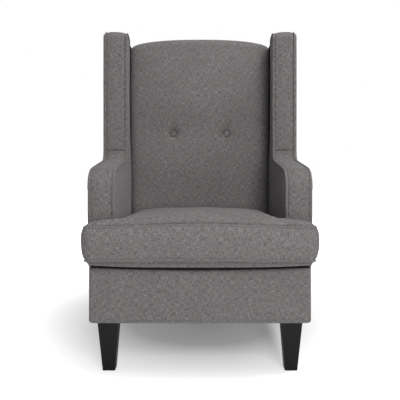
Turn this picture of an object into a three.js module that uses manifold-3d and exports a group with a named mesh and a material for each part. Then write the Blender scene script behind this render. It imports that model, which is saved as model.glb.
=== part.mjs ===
// A wingback armchair with a loose T-cushion, in millimetres.
// X runs across the chair, Y runs back from the arm fronts and Z runs up from the floor.
import * as THREE from 'three';
import { mergeVertices } from 'three/addons/utils/BufferGeometryUtils.js';
import Module from 'manifold-3d';

const wasm = await Module();
wasm.setup();

// Clearances, overruns and counts
const gap = 0.3;
const overrun = 6;
const leastRadius = 2;
const arcSteps = 6;
const tubeSides = 6;
const roundSides = 16;

// The whole chair
const halfWidth = 354;
const legHeight = 165;
const baseTop = 345;
const armFrontHeight = 645;
const armRise = 31;
const armCornerRadius = 60;
const wingDepth = 304;
const wingHeight = 1147;
const wingFall = 15;
const wingCornerRadius = 25;
const scoopRadius = 34;
const stripSeamRise = 33;
const rearFoot = 615;
const rearTop = 665;

// Padded sides, measured across the chair from its middle
const panelProud = 9;
const borderWidth = 69;
const innerPadding = 6;
const innerCrown = 2;
const weltRadius = 2.7;
const stripCrown = 5;
const stripThickness = 14;
const panelEdge = 4;
const panelCrownInset = 40;
const sideWood = 45;

// Inside back, a crowned pad that rolls over the crest rail
const padFoot = 462;
const padTop = 508;
const padBottom = 330;
const padThickness = 95;
const padCrown = 24;
const padEdge = 14;
const padSideDrop = 19;
const padRise = 30;
const rollRadius = 34;
const rollLip = 12;
const rollDrop = 60;

// Buttons of the inside back
const buttonSpacing = 212;
const buttonHeight = 782;
const buttonRadius = 12;
const buttonDome = 6;
const buttonShank = 2.5;
const shankLength = 24;
const dimpleDepth = 12;
const dimpleRadius = 60;

// Outside back
const backPanel = 5;
const backPanelDrop = 8;
const backPanelInset = 1;

// Base front
const baseFrontInset = 4;
const baseFrontProud = 6;
const baseFrontBack = 9.5;
const baseCornerRadius = 12;
const baseFrontSoftening = 3;

// Seat frame of wooden rails
const railThickness = 24;
const frontRailHeight = 300;
const rearRailHeight = 276;
const sideRailHeight = 262;
const cornerBlockReach = 70;
const cornerBlockHeight = 48;
const dustCover = 2;

// Side frames of wood, on the side rails
const frontPostDepth = 42;
const armRailHeight = 44;
const wingFrameWidth = 34;
const backPostDepth = 42;
const backFrameDepth = 34;
const crestRailHeight = 80;
const lowerBackRailHeight = 70;
const lowerBackRailFoot = 420;
const webbingWidth = 50;
const webbingThickness = 2;
const webbingCount = 3;
const webbingPitch = 150;

// Legs, bolts and glides
const legTopSize = 62;
const legBottomSize = 36;
const legOutsideTaper = 15;
const legInset = 28;
const frontLegFace = 22;
const rearLegFace = 547.5;
const legEdge = 3;
const boltRadius = 4;
const boltInLeg = 40;
const boltShift = 8;
const boltHeadRadius = 9;
const boltHeadHeight = 6;
const glideRadius = 14;
const glideThickness = 4;
const glidePin = 2;
const glidePinLength = 14;

// Zigzag seat springs
const springCount = 4;
const springPitch = 116;
const springRuns = 18;
const springWidth = 56;
const springWire = 1.8;
const springTurnSteps = 3;
const springSides = 5;
const clipWidth = 20;
const clipWall = 2;
const clipLength = 14;

// Seat deck
const deckRear = 455;
const deckRoll = 7;
const deckTop = 344;
const deckThickness = 16;
const seatTilt = THREE.MathUtils.degToRad(3);

// Loose T-cushion, level before it is tilted on the deck
const cushionFront = -68;
const cushionRear = 446;
const earBack = -20;
const earInset = 3;
const earCornerRadius = 8;
const rearCornerRadius = 30;
const neckCornerRadius = 10;
const boxingHeight = 110;
const boxingBulge = 7;
const cushionCrown = 42;
const crownReach = 190;
const bellyDepth = 16;
const bellyReach = 12;
const coverWall = 3;
const coreEase = 1.5;
const zipLength = 420;
const zipHeight = 2.4;
const cushionArcSteps = 2;
const cushionPitch = 90;
const cushionWelt = 3;

// Places that follow from these sizes
const armRearHeight = armFrontHeight + armRise;
const outerWelt = halfWidth - panelProud;
const innerWelt = outerWelt - borderWidth;
const innerFace = innerWelt - innerPadding;
const wingRearHeight = wingHeight - wingFall;
const stripSeamHeight = armRearHeight + stripSeamRise;
const padSideHeight = wingHeight - padSideDrop;
const padMiddleHeight = padSideHeight + padRise;
const baseFrontHalfWidth = halfWidth - baseFrontInset;
const legOutside = halfWidth - legInset;
const earHalfWidth = halfWidth - earInset;
const seatHalfWidth = innerFace - innerCrown - gap;
const frameOutside = outerWelt + weltRadius;
const frameInside = frameOutside - sideWood;
const panelOutside = frameOutside + gap;
const panelBack = frameInside - gap;
const stripInside = innerWelt + weltRadius + gap;
const stripOutside = outerWelt - weltRadius - gap;
const frameInset = stripThickness + gap;
const baseRailFront = baseFrontBack + gap;
const baseRailRear = rearFoot - backPanel - gap;
const baseRailBottom = legHeight + dustCover + gap;
const buttonPlace = buttonSpacing / 2;
const neckHalfWidth = seatHalfWidth - boxingBulge - gap;
const earMiddle = (cushionFront + earBack) / 2;
const crestTop = wingRearHeight - frameInset - gap;

const colours = {
  fabric: 0x76716e,
  lining: 0x2b2a29,
  wood: 0xb08a5a,
  blackWood: 0x232323,
  metal: 0x8d9094,
  foam: 0xd9d2bd,
  webbing: 0x6e5a41,
  glide: 0x141414,
};
const finishes = {
  fabric: new THREE.MeshStandardMaterial({ color: colours.fabric, roughness: 0.95, metalness: 0 }),
  lining: new THREE.MeshStandardMaterial({ color: colours.lining, roughness: 0.95, metalness: 0 }),
  wood: new THREE.MeshStandardMaterial({ color: colours.wood, roughness: 0.7, metalness: 0 }),
  blackWood: new THREE.MeshStandardMaterial({ color: colours.blackWood, roughness: 0.45, metalness: 0 }),
  metal: new THREE.MeshStandardMaterial({ color: colours.metal, roughness: 0.4, metalness: 0.9 }),
  foam: new THREE.MeshStandardMaterial({ color: colours.foam, roughness: 1, metalness: 0 }),
  webbing: new THREE.MeshStandardMaterial({ color: colours.webbing, roughness: 0.9, metalness: 0 }),
  glide: new THREE.MeshStandardMaterial({ color: colours.glide, roughness: 0.6, metalness: 0 }),
};

const chair = new THREE.Group();

// Adds one named piece to the chair
function place(name, geometry, finish) {
  const mesh = new THREE.Mesh(geometry, finishes[finish]);
  mesh.name = name;
  chair.add(mesh);
  return mesh;
}

// Both sides of the chair: the name's first word and the sign of X
const sides = [['left', -1], ['right', 1]];

// A geometry from points and triangles, turned so that its faces point out
function closedGeometry(points, triangles) {
  let volume = 0;
  for (const [a, b, c] of triangles) volume += points[a].dot(points[b].clone().cross(points[c]));
  const faces = volume > 0 ? triangles : triangles.map(([a, b, c]) => [a, c, b]);
  const geometry = new THREE.BufferGeometry();
  const positions = points.flatMap((point) => point.toArray());
  geometry.setAttribute('position', new THREE.Float32BufferAttribute(positions, 3));
  geometry.setIndex(faces.flat());
  return mergeVertices(geometry);
}

// Triangles of a flat or nearly flat closed ring, seen along the axis that it spans least
function capTriangles(ring, first) {
  const size = new THREE.Box3().setFromPoints(ring).getSize(new THREE.Vector3());
  const least = Math.min(size.x, size.y, size.z);
  let flat;
  if (size.x === least) flat = ring.map((p) => new THREE.Vector2(p.y, p.z));
  else if (size.y === least) flat = ring.map((p) => new THREE.Vector2(p.x, p.z));
  else flat = ring.map((p) => new THREE.Vector2(p.x, p.y));
  const turned = THREE.ShapeUtils.isClockWise(flat);
  const faces = THREE.ShapeUtils.triangulateShape(flat, []);
  return faces.map(([a, b, c]) => (turned ? [a, c, b] : [a, b, c]).map((corner) => corner + first));
}

// Turns a cap to agree with the wall, which meets it along the edge between two points
function turnCap(faces, from, to, forwards) {
  const runs = faces.some(([a, b, c]) => (
    (a === from && b === to) || (b === from && c === to) || (c === from && a === to)
  ));
  return runs === forwards ? faces : faces.map(([a, b, c]) => [a, c, b]);
}

// A solid through closed rings of equally many points, capped at its two ends. Where a tip is
// given, the last ring closes on that point.
function loft(rings, tip) {
  const count = rings[0].length;
  const points = rings.flat();
  const last = points.length - count;
  const triangles = [];
  for (let first = 0; first < last; first += count) {
    for (let i = 0; i < count; i += 1) {
      const a = first + i;
      const b = first + ((i + 1) % count);
      triangles.push([a, b, b + count], [a, b + count, a + count]);
    }
  }
  triangles.push(...turnCap(capTriangles(rings[0], 0), 0, 1, false));
  if (!tip) {
    triangles.push(...turnCap(capTriangles(rings.at(-1), last), last, last + 1, true));
    return closedGeometry(points, triangles);
  }
  for (let i = 0; i < count; i += 1) {
    triangles.push([last + i, last + ((i + 1) % count), points.length]);
  }
  return closedGeometry([...points, tip], triangles);
}

// A solid for joining and cutting, and a geometry back from one
function solid(geometry) {
  const bare = geometry.clone();
  bare.deleteAttribute('normal');
  bare.deleteAttribute('uv');
  const merged = mergeVertices(bare);
  const index = merged.index.array;
  return new wasm.Manifold(new wasm.Mesh({
    numProp: 3,
    vertProperties: new Float32Array(merged.attributes.position.array),
    triVerts: new Uint32Array(index),
  }));
}

function geometryOf(body) {
  const mesh = body.getMesh();
  const geometry = new THREE.BufferGeometry();
  const numbers = mesh.numProp;
  const positions = [];
  for (let i = 0; i < mesh.vertProperties.length; i += numbers) {
    positions.push(...mesh.vertProperties.slice(i, i + 3));
  }
  geometry.setAttribute('position', new THREE.Float32BufferAttribute(positions, 3));
  geometry.setIndex([...mesh.triVerts]);
  return geometry;
}

function joined(geometries) {
  return geometryOf(geometries.map(solid).reduce((whole, piece) => whole.add(piece)));
}

function cut(geometry, cutters) {
  return geometryOf(cutters.map(solid).reduce((whole, piece) => whole.subtract(piece), solid(geometry)));
}

// The same geometry on the other side of the chair, with its faces still pointing out
function mirrored(geometry) {
  const copy = geometry.index ? geometry.clone() : mergeVertices(geometry.clone());
  copy.scale(-1, 1, 1);
  const index = [...copy.index.array];
  for (let i = 0; i < index.length; i += 3) [index[i], index[i + 1]] = [index[i + 1], index[i]];
  copy.setIndex(index);
  return copy;
}

function onSide(geometry, sign) {
  return sign > 0 ? geometry : mirrored(geometry);
}

// A box between two corners
function boxBetween(x0, x1, y0, y1, z0, z1) {
  const box = new THREE.BoxGeometry(x1 - x0, y1 - y0, z1 - z0);
  return box.translate((x0 + x1) / 2, (y0 + y1) / 2, (z0 + z1) / 2);
}

// A plate cut to an outline of [y, z] points, between two places across the chair
function sidePlate(outline, x0, x1) {
  const shape = new THREE.Shape(outline.map(([y, z]) => new THREE.Vector2(y, z)));
  const plate = new THREE.ExtrudeGeometry(shape, { depth: x1 - x0, bevelEnabled: false });
  const turn = new THREE.Matrix4().set(0, 0, 1, x0, 1, 0, 0, 0, 0, 1, 0, 0, 0, 0, 0, 1);
  return plate.applyMatrix4(turn);
}

// A round bar, upright, between two heights
function uprightBar(x, y, radius, z0, z1) {
  const bar = new THREE.CylinderGeometry(radius, radius, z1 - z0, roundSides);
  return bar.rotateX(Math.PI / 2).translate(x, y, (z0 + z1) / 2);
}

function lerp(a, b, share) {
  return a + (b - a) * share;
}

// The chair's leaning rear face and the inside back's face, both at a given height
function rearAt(z) {
  return lerp(rearFoot, rearTop, (z - legHeight) / (wingRearHeight - legHeight));
}

function padFaceAt(z) {
  return lerp(padFoot, padTop, (z - padBottom) / (padSideHeight - padBottom));
}

function wingTopAt(y) {
  return lerp(wingHeight, wingRearHeight, (y - wingDepth) / (rearTop - wingDepth));
}

function armTopAt(y) {
  return lerp(armFrontHeight, armRearHeight, y / wingDepth);
}

// A line of corners { y, z, radius } with each corner rounded: points with their outward normals,
// which lie to the left of the way along the line
function roundedLine(corners, steps = arcSteps) {
  const stations = [];
  const spots = corners.map((corner) => new THREE.Vector2(corner.y, corner.z));
  const leftOf = (from, to) => {
    const along = to.clone().sub(from).normalize();
    return new THREE.Vector2(-along.y, along.x);
  };
  spots.forEach((here, i) => {
    const radius = corners[i].radius;
    if (!radius) {
      const normal = i === 0 ? leftOf(here, spots[1]) : leftOf(spots[i - 1], here);
      stations.push({ point: here, normal });
      return;
    }
    const back = spots[i - 1].clone().sub(here).normalize();
    const onward = spots[i + 1].clone().sub(here).normalize();
    const halfAngle = Math.acos(back.dot(onward)) / 2;
    const reach = radius / Math.tan(halfAngle);
    const toMiddle = radius / Math.sin(halfAngle);
    const middle = back.clone().add(onward).normalize().multiplyScalar(toMiddle).add(here);
    const start = back.multiplyScalar(reach).add(here).sub(middle);
    const end = onward.multiplyScalar(reach).add(here).sub(middle);
    const outward = start.dot(leftOf(spots[i - 1], here)) > 0 ? 1 : -1;
    const sweep = start.angleTo(end) * Math.sign(start.cross(end));
    for (let k = 0; k <= steps; k += 1) {
      const arm = start.clone().rotateAround(new THREE.Vector2(), (sweep * k) / steps);
      const normal = arm.clone().normalize().multiplyScalar(outward);
      stations.push({ point: arm.add(middle), normal });
    }
  });
  return stations;
}

// Carries a closed profile of [x, out] points along stations, as one solid
function sweepAlong(stations, profile) {
  return loft(stations.map(({ point, normal }) => profile.map(([x, out]) => (
    new THREE.Vector3(x, point.x + normal.x * out, point.y + normal.y * out)
  ))));
}

// Moves the edges that a corner marks inward, and rounds each corner to suit
function insetCorners(corners, inset) {
  const count = corners.length;
  const edges = corners.map((corner, i) => {
    const next = corners[(i + 1) % count];
    const along = new THREE.Vector2(next.y - corner.y, next.z - corner.z).normalize();
    const inward = new THREE.Vector2(along.y, -along.x).multiplyScalar(corner.moves ? inset : 0);
    return { start: inward.add(new THREE.Vector2(corner.y, corner.z)), along };
  });
  return corners.map((corner, i) => {
    const before = edges[(i + count - 1) % count];
    const after = edges[i];
    const turn = before.along.cross(after.along);
    const reach = after.start.clone().sub(before.start).cross(after.along) / turn;
    const spot = before.along.clone().multiplyScalar(reach).add(before.start);
    const rounded = turn > 0 ? corner.radius + inset : Math.max(corner.radius - inset, leastRadius);
    return { y: spot.x, z: spot.y, radius: corner.radius && rounded };
  });
}

// The side's outline: up the arm front, along the arm, up the wing and back along its top.
// It stands behind the base front below, and ends at two places on a leaning rear edge.
function sideCorners(bottom, rearLine) {
  const shelf = baseTop + gap;
  const topEnd = rearLine(wingRearHeight);
  return [
    { y: baseRailFront, z: bottom, radius: 0 },
    { y: baseRailFront, z: shelf, radius: 0 },
    { y: 0, z: shelf, radius: 0, moves: true },
    { y: 0, z: armFrontHeight, radius: armCornerRadius, moves: true },
    { y: wingDepth, z: armRearHeight, radius: scoopRadius, moves: true },
    { y: wingDepth, z: wingHeight, radius: wingCornerRadius, moves: true },
    { y: topEnd, z: wingTopAt(topEnd), radius: 0 },
    { y: rearLine(bottom), z: bottom, radius: 0 },
  ];
}

// A closed ring of the side's outline, moved inward and set at a place across the chair
function sideRing(corners, inset, x) {
  return roundedLine(insetCorners(corners, inset)).map(({ point }) => new THREE.Vector3(x, point.x, point.y));
}

const rearInsideAt = (z) => rearAt(z) - backPanel - gap;
const padBackAt = (z) => padFaceAt(z) + padThickness;

// The outside panel, padded: its edge is rounded and its face stands flat between
function outsidePanel() {
  const corners = sideCorners(legHeight, rearInsideAt);
  const thickness = halfWidth - panelOutside;
  return loft([
    sideRing(corners, 0, panelOutside),
    sideRing(corners, 0, panelOutside + thickness / 2),
    sideRing(corners, panelEdge / 2, halfWidth - thickness / 6),
    sideRing(corners, panelEdge * 2, halfWidth),
  ]);
}

// The inside wing and arm, a thick pad whose thin edge reaches the inner welt
function insidePanel() {
  const corners = sideCorners(frontRailHeight + gap, padBackAt);
  const edge = innerWelt - weltRadius - gap;
  const padInset = frameInset + gap;
  return loft([
    sideRing(corners, padInset, panelBack),
    sideRing(corners, padInset, edge),
    sideRing(corners, gap, edge),
    sideRing(corners, panelEdge, innerFace),
    sideRing(corners, panelCrownInset, innerFace - innerCrown),
  ]);
}

// The line that the border strips and welts follow, in two lengths with a seam between
function armLine() {
  return roundedLine([
    { y: 0, z: baseTop + gap, radius: 0 },
    { y: 0, z: armFrontHeight, radius: armCornerRadius },
    { y: wingDepth, z: armRearHeight, radius: scoopRadius },
    { y: wingDepth, z: stripSeamHeight - gap / 2, radius: 0 },
  ]);
}

function wingLine() {
  const end = rearInsideAt(wingRearHeight - stripThickness);
  return roundedLine([
    { y: wingDepth, z: stripSeamHeight + gap / 2, radius: 0 },
    { y: wingDepth, z: wingHeight, radius: wingCornerRadius },
    { y: end, z: wingTopAt(end), radius: 0 },
  ]);
}

function weltLine() {
  return [...armLine().slice(0, -1), ...wingLine().slice(1)];
}

// The padded border strip's section: flat within and crowned without
function stripSection() {
  const middle = (stripInside + stripOutside) / 2;
  const half = (stripOutside - stripInside) / 2;
  const crownShares = [[-1, -0.35], [-0.93, 0.2], [-0.6, 0.8], [0, 1], [0.6, 0.8], [0.93, 0.2], [1, -0.35]];
  const crown = crownShares.map(([across, out]) => [middle + half * across, stripCrown * out]);
  return [[stripInside, -stripThickness], ...crown, [stripOutside, -stripThickness]];
}

function weltSection(x) {
  return Array.from({ length: tubeSides }, (_, i) => {
    const angle = (2 * Math.PI * i) / tubeSides;
    return [x + weltRadius * Math.cos(angle), weltRadius * Math.sin(angle)];
  });
}

function makeSideCovers() {
  const pieces = [
    ['outside_panel', outsidePanel()],
    ['inside_wing_and_arm', insidePanel()],
    ['arm_border_strip', sweepAlong(armLine(), stripSection())],
    ['wing_border_strip', sweepAlong(wingLine(), stripSection())],
    ['inner_welt', sweepAlong(weltLine(), weltSection(innerWelt))],
    ['outer_welt', sweepAlong(weltLine(), weltSection(outerWelt))],
  ];
  for (const [side, sign] of sides) {
    for (const [name, geometry] of pieces) place(`${side}_${name}`, onSide(geometry, sign), 'fabric');
  }
}

// The wooden side frame: front post, arm rail, wing frame and back post
function makeSideFrames() {
  const corners = sideCorners(legHeight, rearInsideAt);
  const [, , , armCorner, , wingCorner] = insetCorners(corners, frameInset);
  const railTopAt = (y) => armTopAt(y) - armTopAt(0) + armCorner.z - (armTopAt(armCorner.y) - armTopAt(0));
  const postTop = railTopAt(armCorner.y) - armRailHeight - gap;
  const postFoot = sideRailHeight + gap;
  const postRearAt = (z) => rearInsideAt(z) - gap;
  const postFrontAt = (z) => postRearAt(z) - backPostDepth;

  const armEnd = postFrontAt(postTop) - gap;
  const armRail = [
    { y: armCorner.y, z: postTop + gap, radius: 0 },
    armCorner,
    { y: armEnd, z: railTopAt(armEnd), radius: 0 },
    { y: armEnd, z: railTopAt(armEnd) - armRailHeight, radius: 0 },
  ];

  const wingFront = wingCorner.y;
  const wingBack = wingFront + wingFrameWidth;
  const wingTop = (y) => wingCorner.z + wingTopAt(y) - wingTopAt(wingFront);
  const wingEnd = postFrontAt(wingTop(rearFoot) - wingFrameWidth) - gap;
  const wingFrame = [
    { y: wingFront, z: railTopAt(wingFront) + gap, radius: 0 },
    wingCorner,
    { y: wingEnd, z: wingTop(wingEnd), radius: 0 },
    { y: wingEnd, z: wingTop(wingEnd) - wingFrameWidth, radius: 0 },
    { y: wingBack, z: wingTop(wingBack) - wingFrameWidth, radius: wingFrameWidth },
    { y: wingBack, z: railTopAt(wingBack) + gap, radius: 0 },
  ];

  const postHead = wingTop(postRearAt(wingRearHeight)) - gap;
  const backPost = [
    [postFrontAt(postFoot), postFoot],
    [postFrontAt(postHead), postHead],
    [postRearAt(postHead), postHead],
    [postRearAt(postFoot), postFoot],
  ];

  const outlineOf = (line) => roundedLine(line).map(({ point }) => [point.x, point.y]);
  const pieces = [
    ['front_post', boxBetween(
      frameInside,
      frameOutside,
      armCorner.y,
      armCorner.y + frontPostDepth,
      postFoot,
      postTop,
    )],
    ['arm_rail', sidePlate(outlineOf(armRail), frameInside, frameOutside)],
    ['wing_frame', sidePlate(outlineOf(wingFrame), frameInside, frameOutside)],
    ['back_post', sidePlate(backPost, frameInside, frameOutside)],
  ];
  for (const [side, sign] of sides) {
    for (const [name, geometry] of pieces) place(`${side}_${name}`, onSide(geometry, sign), 'wood');
  }
}

// A C-shaped clip on a rail's top, open towards the seat, that holds a spring's end wire
function springClip(x, y, railTop, opening) {
  const slot = 2 * (springWire + gap);
  const back = y - opening * (clipLength / 2);
  const front = y + opening * (clipLength / 2);
  const wall = back + opening * clipWall;
  const heights = [railTop, railTop + clipWall, railTop + clipWall + slot, railTop + 2 * clipWall + slot];
  const profile = [
    [back, heights[0]],
    [front, heights[0]],
    [front, heights[1]],
    [wall, heights[1]],
    [wall, heights[2]],
    [front, heights[2]],
    [front, heights[3]],
    [back, heights[3]],
  ];
  const ordered = opening > 0 ? profile : profile.reverse();
  return sidePlate(ordered, x - clipWidth / 2, x + clipWidth / 2);
}

const springPlaces = Array.from({ length: springCount }, (_, i) => (i - (springCount - 1) / 2) * springPitch);
const frontClipPlace = baseRailFront + railThickness - clipLength / 2;
const rearClipPlace = baseRailRear - railThickness + clipLength / 2;

// The seat frame: rails round the seat, with the spring clips fixed to the front and rear rails
function makeSeatFrame() {
  const railEnd = frameOutside - railThickness - gap;
  const upperEnd = frameInside - gap;
  const rails = [
    ['front_rail', baseRailFront, frontRailHeight, frontClipPlace, 1],
    ['rear_rail', baseRailRear - railThickness, rearRailHeight, rearClipPlace, -1],
  ];
  for (const [name, front, height, clipPlace, opening] of rails) {
    const rear = front + railThickness;
    place(name, joined([
      boxBetween(-railEnd, railEnd, front, rear, baseRailBottom, sideRailHeight),
      boxBetween(-upperEnd, upperEnd, front, rear, sideRailHeight - overrun, height),
      ...springPlaces.map((x) => springClip(x, clipPlace, height, opening)),
    ]), 'wood');
  }
  const sideRail = boxBetween(
    frameOutside - railThickness,
    frameOutside,
    baseRailFront,
    baseRailRear,
    baseRailBottom,
    sideRailHeight,
  );
  for (const [side, sign] of sides) place(`${side}_side_rail`, onSide(sideRail, sign), 'wood');
}

// A tapered square leg with eased corners: its outer side leans in more than its inner side
function legGeometry(front) {
  const top = baseRailBottom - gap;
  const foot = glideThickness + gap;
  const ring = (x0, x1, y0, y1, z) => [
    [x0 + legEdge, y0], [x1 - legEdge, y0], [x1, y0 + legEdge], [x1, y1 - legEdge],
    [x1 - legEdge, y1], [x0 + legEdge, y1], [x0, y1 - legEdge], [x0, y0 + legEdge],
  ].map(([x, y]) => new THREE.Vector3(x, y, z));
  const footRight = legOutside - legOutsideTaper;
  const footFront = front + legOutsideTaper;
  return loft([
    ring(footRight - legBottomSize, footRight, footFront, footFront + legBottomSize, foot),
    ring(legOutside - legTopSize, legOutside, front, front + legTopSize, top),
  ]);
}

// Each corner: a leg, the glide under it, the block above it and the bolt that holds it
function makeCorners() {
  const blockTop = baseRailBottom + cornerBlockHeight;
  const blockSide = frameOutside - railThickness - gap;
  const legMiddle = legOutside - legTopSize / 2;
  const footMiddle = legOutside - legOutsideTaper - legBottomSize / 2;
  const corners = [
    ['front', frontLegFace, baseRailFront + railThickness + gap, 1],
    ['rear', rearLegFace, baseRailRear - railThickness - gap, -1],
  ];
  for (const [end, face, blockPlace, inward] of corners) {
    const boltY = face + legTopSize / 2 + inward * boltShift;
    const boltFoot = baseRailBottom - boltInLeg;
    const boltHole = uprightBar(legMiddle, boltY, boltRadius + gap, boltFoot - gap, blockTop);
    const pinY = face + legOutsideTaper + legBottomSize / 2;
    const pinTop = glideThickness + glidePinLength;
    const pinHole = uprightBar(footMiddle, pinY, glidePin + gap, glideThickness - overrun, pinTop + gap);
    const leg = cut(legGeometry(face), [boltHole, pinHole]);

    const triangle = new THREE.Shape([
      new THREE.Vector2(blockSide, blockPlace),
      new THREE.Vector2(blockSide, blockPlace + inward * cornerBlockReach),
      new THREE.Vector2(blockSide - cornerBlockReach, blockPlace),
    ]);
    const blank = new THREE.ExtrudeGeometry(triangle, { depth: cornerBlockHeight, bevelEnabled: false });
    const block = cut(blank.translate(0, 0, baseRailBottom), [
      uprightBar(legMiddle, boltY, boltRadius + gap, baseRailBottom - overrun, blockTop + overrun),
    ]);

    const headFoot = blockTop + gap;
    const bolt = joined([
      uprightBar(legMiddle, boltY, boltRadius, boltFoot, headFoot + boltHeadHeight / 2),
      uprightBar(legMiddle, boltY, boltHeadRadius, headFoot, headFoot + boltHeadHeight),
    ]);
    const glide = joined([
      uprightBar(footMiddle, pinY, glideRadius, 0, glideThickness),
      uprightBar(footMiddle, pinY, glidePin, glideThickness / 2, pinTop),
    ]);
    for (const [side, sign] of sides) {
      place(`${end}_${side}_leg`, onSide(leg, sign), 'blackWood');
      place(`${end}_${side}_glide`, onSide(glide, sign), 'glide');
      place(`${end}_${side}_corner_block`, onSide(block, sign), 'wood');
      place(`${end}_${side}_leg_bolt`, onSide(bolt, sign), 'metal');
    }
  }
}

// The thin cloth under the seat, cut away round the four legs
function makeDustCover() {
  const half = frameOutside - gap;
  const cloth = boxBetween(-half, half, baseRailFront, baseRailRear, legHeight, legHeight + dustCover);
  const holes = [];
  for (const face of [frontLegFace, rearLegFace]) {
    for (const [, sign] of sides) {
      const hole = boxBetween(
        legOutside - legTopSize - gap,
        legOutside + gap,
        face - gap,
        face + legTopSize + gap,
        legHeight - overrun,
        legHeight + overrun,
      );
      holes.push(onSide(hole, sign));
    }
  }
  place('dust_cover', cut(cloth, holes), 'lining');
}

// The base front, padded, wrapped round its two ends and rounded at its lower corners
function makeBaseFront() {
  const ring = (x, inset, lift) => {
    const bottom = legHeight + lift;
    const face = -baseFrontProud + inset;
    const soft = baseFrontSoftening;
    return [
      [baseFrontBack, bottom],
      [Math.min(face + soft, baseFrontBack - gap), bottom],
      [face, bottom + soft],
      [face - soft / 2, lerp(bottom, baseTop, 1 / 2)],
      [face, baseTop - 2 * soft],
      [Math.min(face + soft, baseFrontBack - gap), baseTop - soft],
      [baseFrontBack, baseTop - soft],
    ].map(([y, z]) => new THREE.Vector3(x, y, z));
  };
  const end = baseFrontHalfWidth;
  const right = [0, 1 / 3, 2 / 3, 1].map((share) => {
    const angle = (share * Math.PI) / 2;
    const bend = 1 - Math.cos(angle);
    const drawnIn = baseCornerRadius * (1 - Math.sin(angle));
    return [end - drawnIn, bend * (baseCornerRadius / 2), bend * baseCornerRadius];
  });
  const left = right.map(([x, inset, lift]) => [-x, inset, lift]).reverse();
  place('base_front', loft([...left, ...right].map(([x, inset, lift]) => ring(x, inset, lift))), 'fabric');
}

// Tilts what lies on the seat about the deck's front edge
function tilted(geometry) {
  return geometry.translate(0, -baseRailFront, 0).rotateX(-seatTilt).translate(0, baseRailFront, deckTop);
}

// The padded deck, whose front roll stands on the front rail
function makeDeck() {
  const front = baseRailFront + deckThickness * Math.sin(seatTilt);
  const slab = tilted(boxBetween(-seatHalfWidth, seatHalfWidth, front, deckRear, -deckThickness, 0));
  const roll = boxBetween(
    -seatHalfWidth,
    seatHalfWidth,
    baseRailFront,
    baseRailFront + deckRoll,
    frontRailHeight + gap,
    deckTop - deckThickness / 2,
  );
  place('seat_deck', joined([slab, roll]), 'lining');
}

// A wire bent to and fro from rail to rail, arched up to the deck, as one unbroken tube
function makeSprings() {
  const start = frontClipPlace;
  const end = rearClipPlace;
  const pitch = (end - start) / springRuns;
  const turn = pitch / 2;
  const seatOf = (railTop) => railTop + clipWall + gap + springWire;
  const lineAt = (y) => lerp(seatOf(frontRailHeight), seatOf(rearRailHeight), (y - start) / (end - start));
  const middle = (start + end) / 2;
  const fall = (middle - baseRailFront) * Math.tan(seatTilt);
  const underside = deckTop - deckThickness / Math.cos(seatTilt) - fall;
  const arch = underside - gap - springWire - lineAt(middle);
  const heightAt = (y) => lineAt(y) + arch * Math.sin((Math.PI * (y - start)) / (end - start));
  springPlaces.forEach((place0, n) => {
    const route = [];
    for (let run = 0; run <= springRuns; run += 1) {
      const y = start + run * pitch;
      const way = run % 2 ? -1 : 1;
      const reach = springWidth / 2 - turn;
      if (run === 0) route.push([-way * (springWidth / 2), y]);
      if (run === springRuns) {
        route.push([way * (springWidth / 2), y]);
        break;
      }
      for (let k = 0; k <= springTurnSteps; k += 1) {
        const angle = (Math.PI * k) / springTurnSteps;
        route.push([way * (reach + turn * Math.sin(angle)), y + turn * (1 - Math.cos(angle))]);
      }
    }
    const points = route.map(([x, y]) => new THREE.Vector3(place0 + x, y, heightAt(y)));
    place(`seat_spring_${n + 1}`, tubeAlong(points, springWire, springSides), 'metal');
  });
}

// A round tube through points, with its rings kept upright
function tubeAlong(points, radius, count) {
  const up = new THREE.Vector3(0, 0, 1);
  const rings = points.map((point, i) => {
    const before = points[Math.max(i - 1, 0)];
    const after = points[Math.min(i + 1, points.length - 1)];
    const along = after.clone().sub(before).normalize();
    const across = new THREE.Vector3().crossVectors(up, along).normalize();
    const rise = new THREE.Vector3().crossVectors(along, across);
    return Array.from({ length: count }, (_, k) => {
      const angle = (2 * Math.PI * k) / count;
      return point.clone()
        .addScaledVector(across, radius * Math.cos(angle))
        .addScaledVector(rise, radius * Math.sin(angle));
    });
  });
  return loft(rings);
}

// Half of the T-cushion's outline, from the middle of its rear round to the middle of its front
function cushionCorners() {
  return [
    { y: 0, z: cushionRear, radius: 0, moves: true },
    { y: neckHalfWidth, z: cushionRear, radius: rearCornerRadius, moves: true },
    { y: neckHalfWidth, z: earBack, radius: neckCornerRadius, moves: true },
    { y: earHalfWidth, z: earBack, radius: earCornerRadius, moves: true },
    { y: earHalfWidth, z: cushionFront, radius: earCornerRadius, moves: true },
    { y: 0, z: cushionFront, radius: 0 },
  ];
}

// The whole outline moved inward, as [x, y] stations. Long edges are split alike at every inset.
function cushionLoop(inset) {
  const plain = roundedLine(cushionCorners(), cushionArcSteps);
  const moved = roundedLine(insetCorners(cushionCorners(), inset), cushionArcSteps);
  const half = [];
  moved.forEach((station, i) => {
    half.push(station);
    if (i + 1 === moved.length) return;
    const parts = Math.round(plain[i].point.distanceTo(plain[i + 1].point) / cushionPitch);
    for (let k = 1; k < parts; k += 1) {
      const point = station.point.clone().lerp(moved[i + 1].point, k / parts);
      half.push({ point, normal: station.normal.clone().lerp(moved[i + 1].normal, k / parts).normalize() });
    }
  });
  const flip = (v) => new THREE.Vector2(-v.x, v.y);
  const other = half.slice(1, -1).reverse();
  return [...half, ...other.map(({ point, normal }) => ({ point: flip(point), normal: flip(normal) }))];
}

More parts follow.
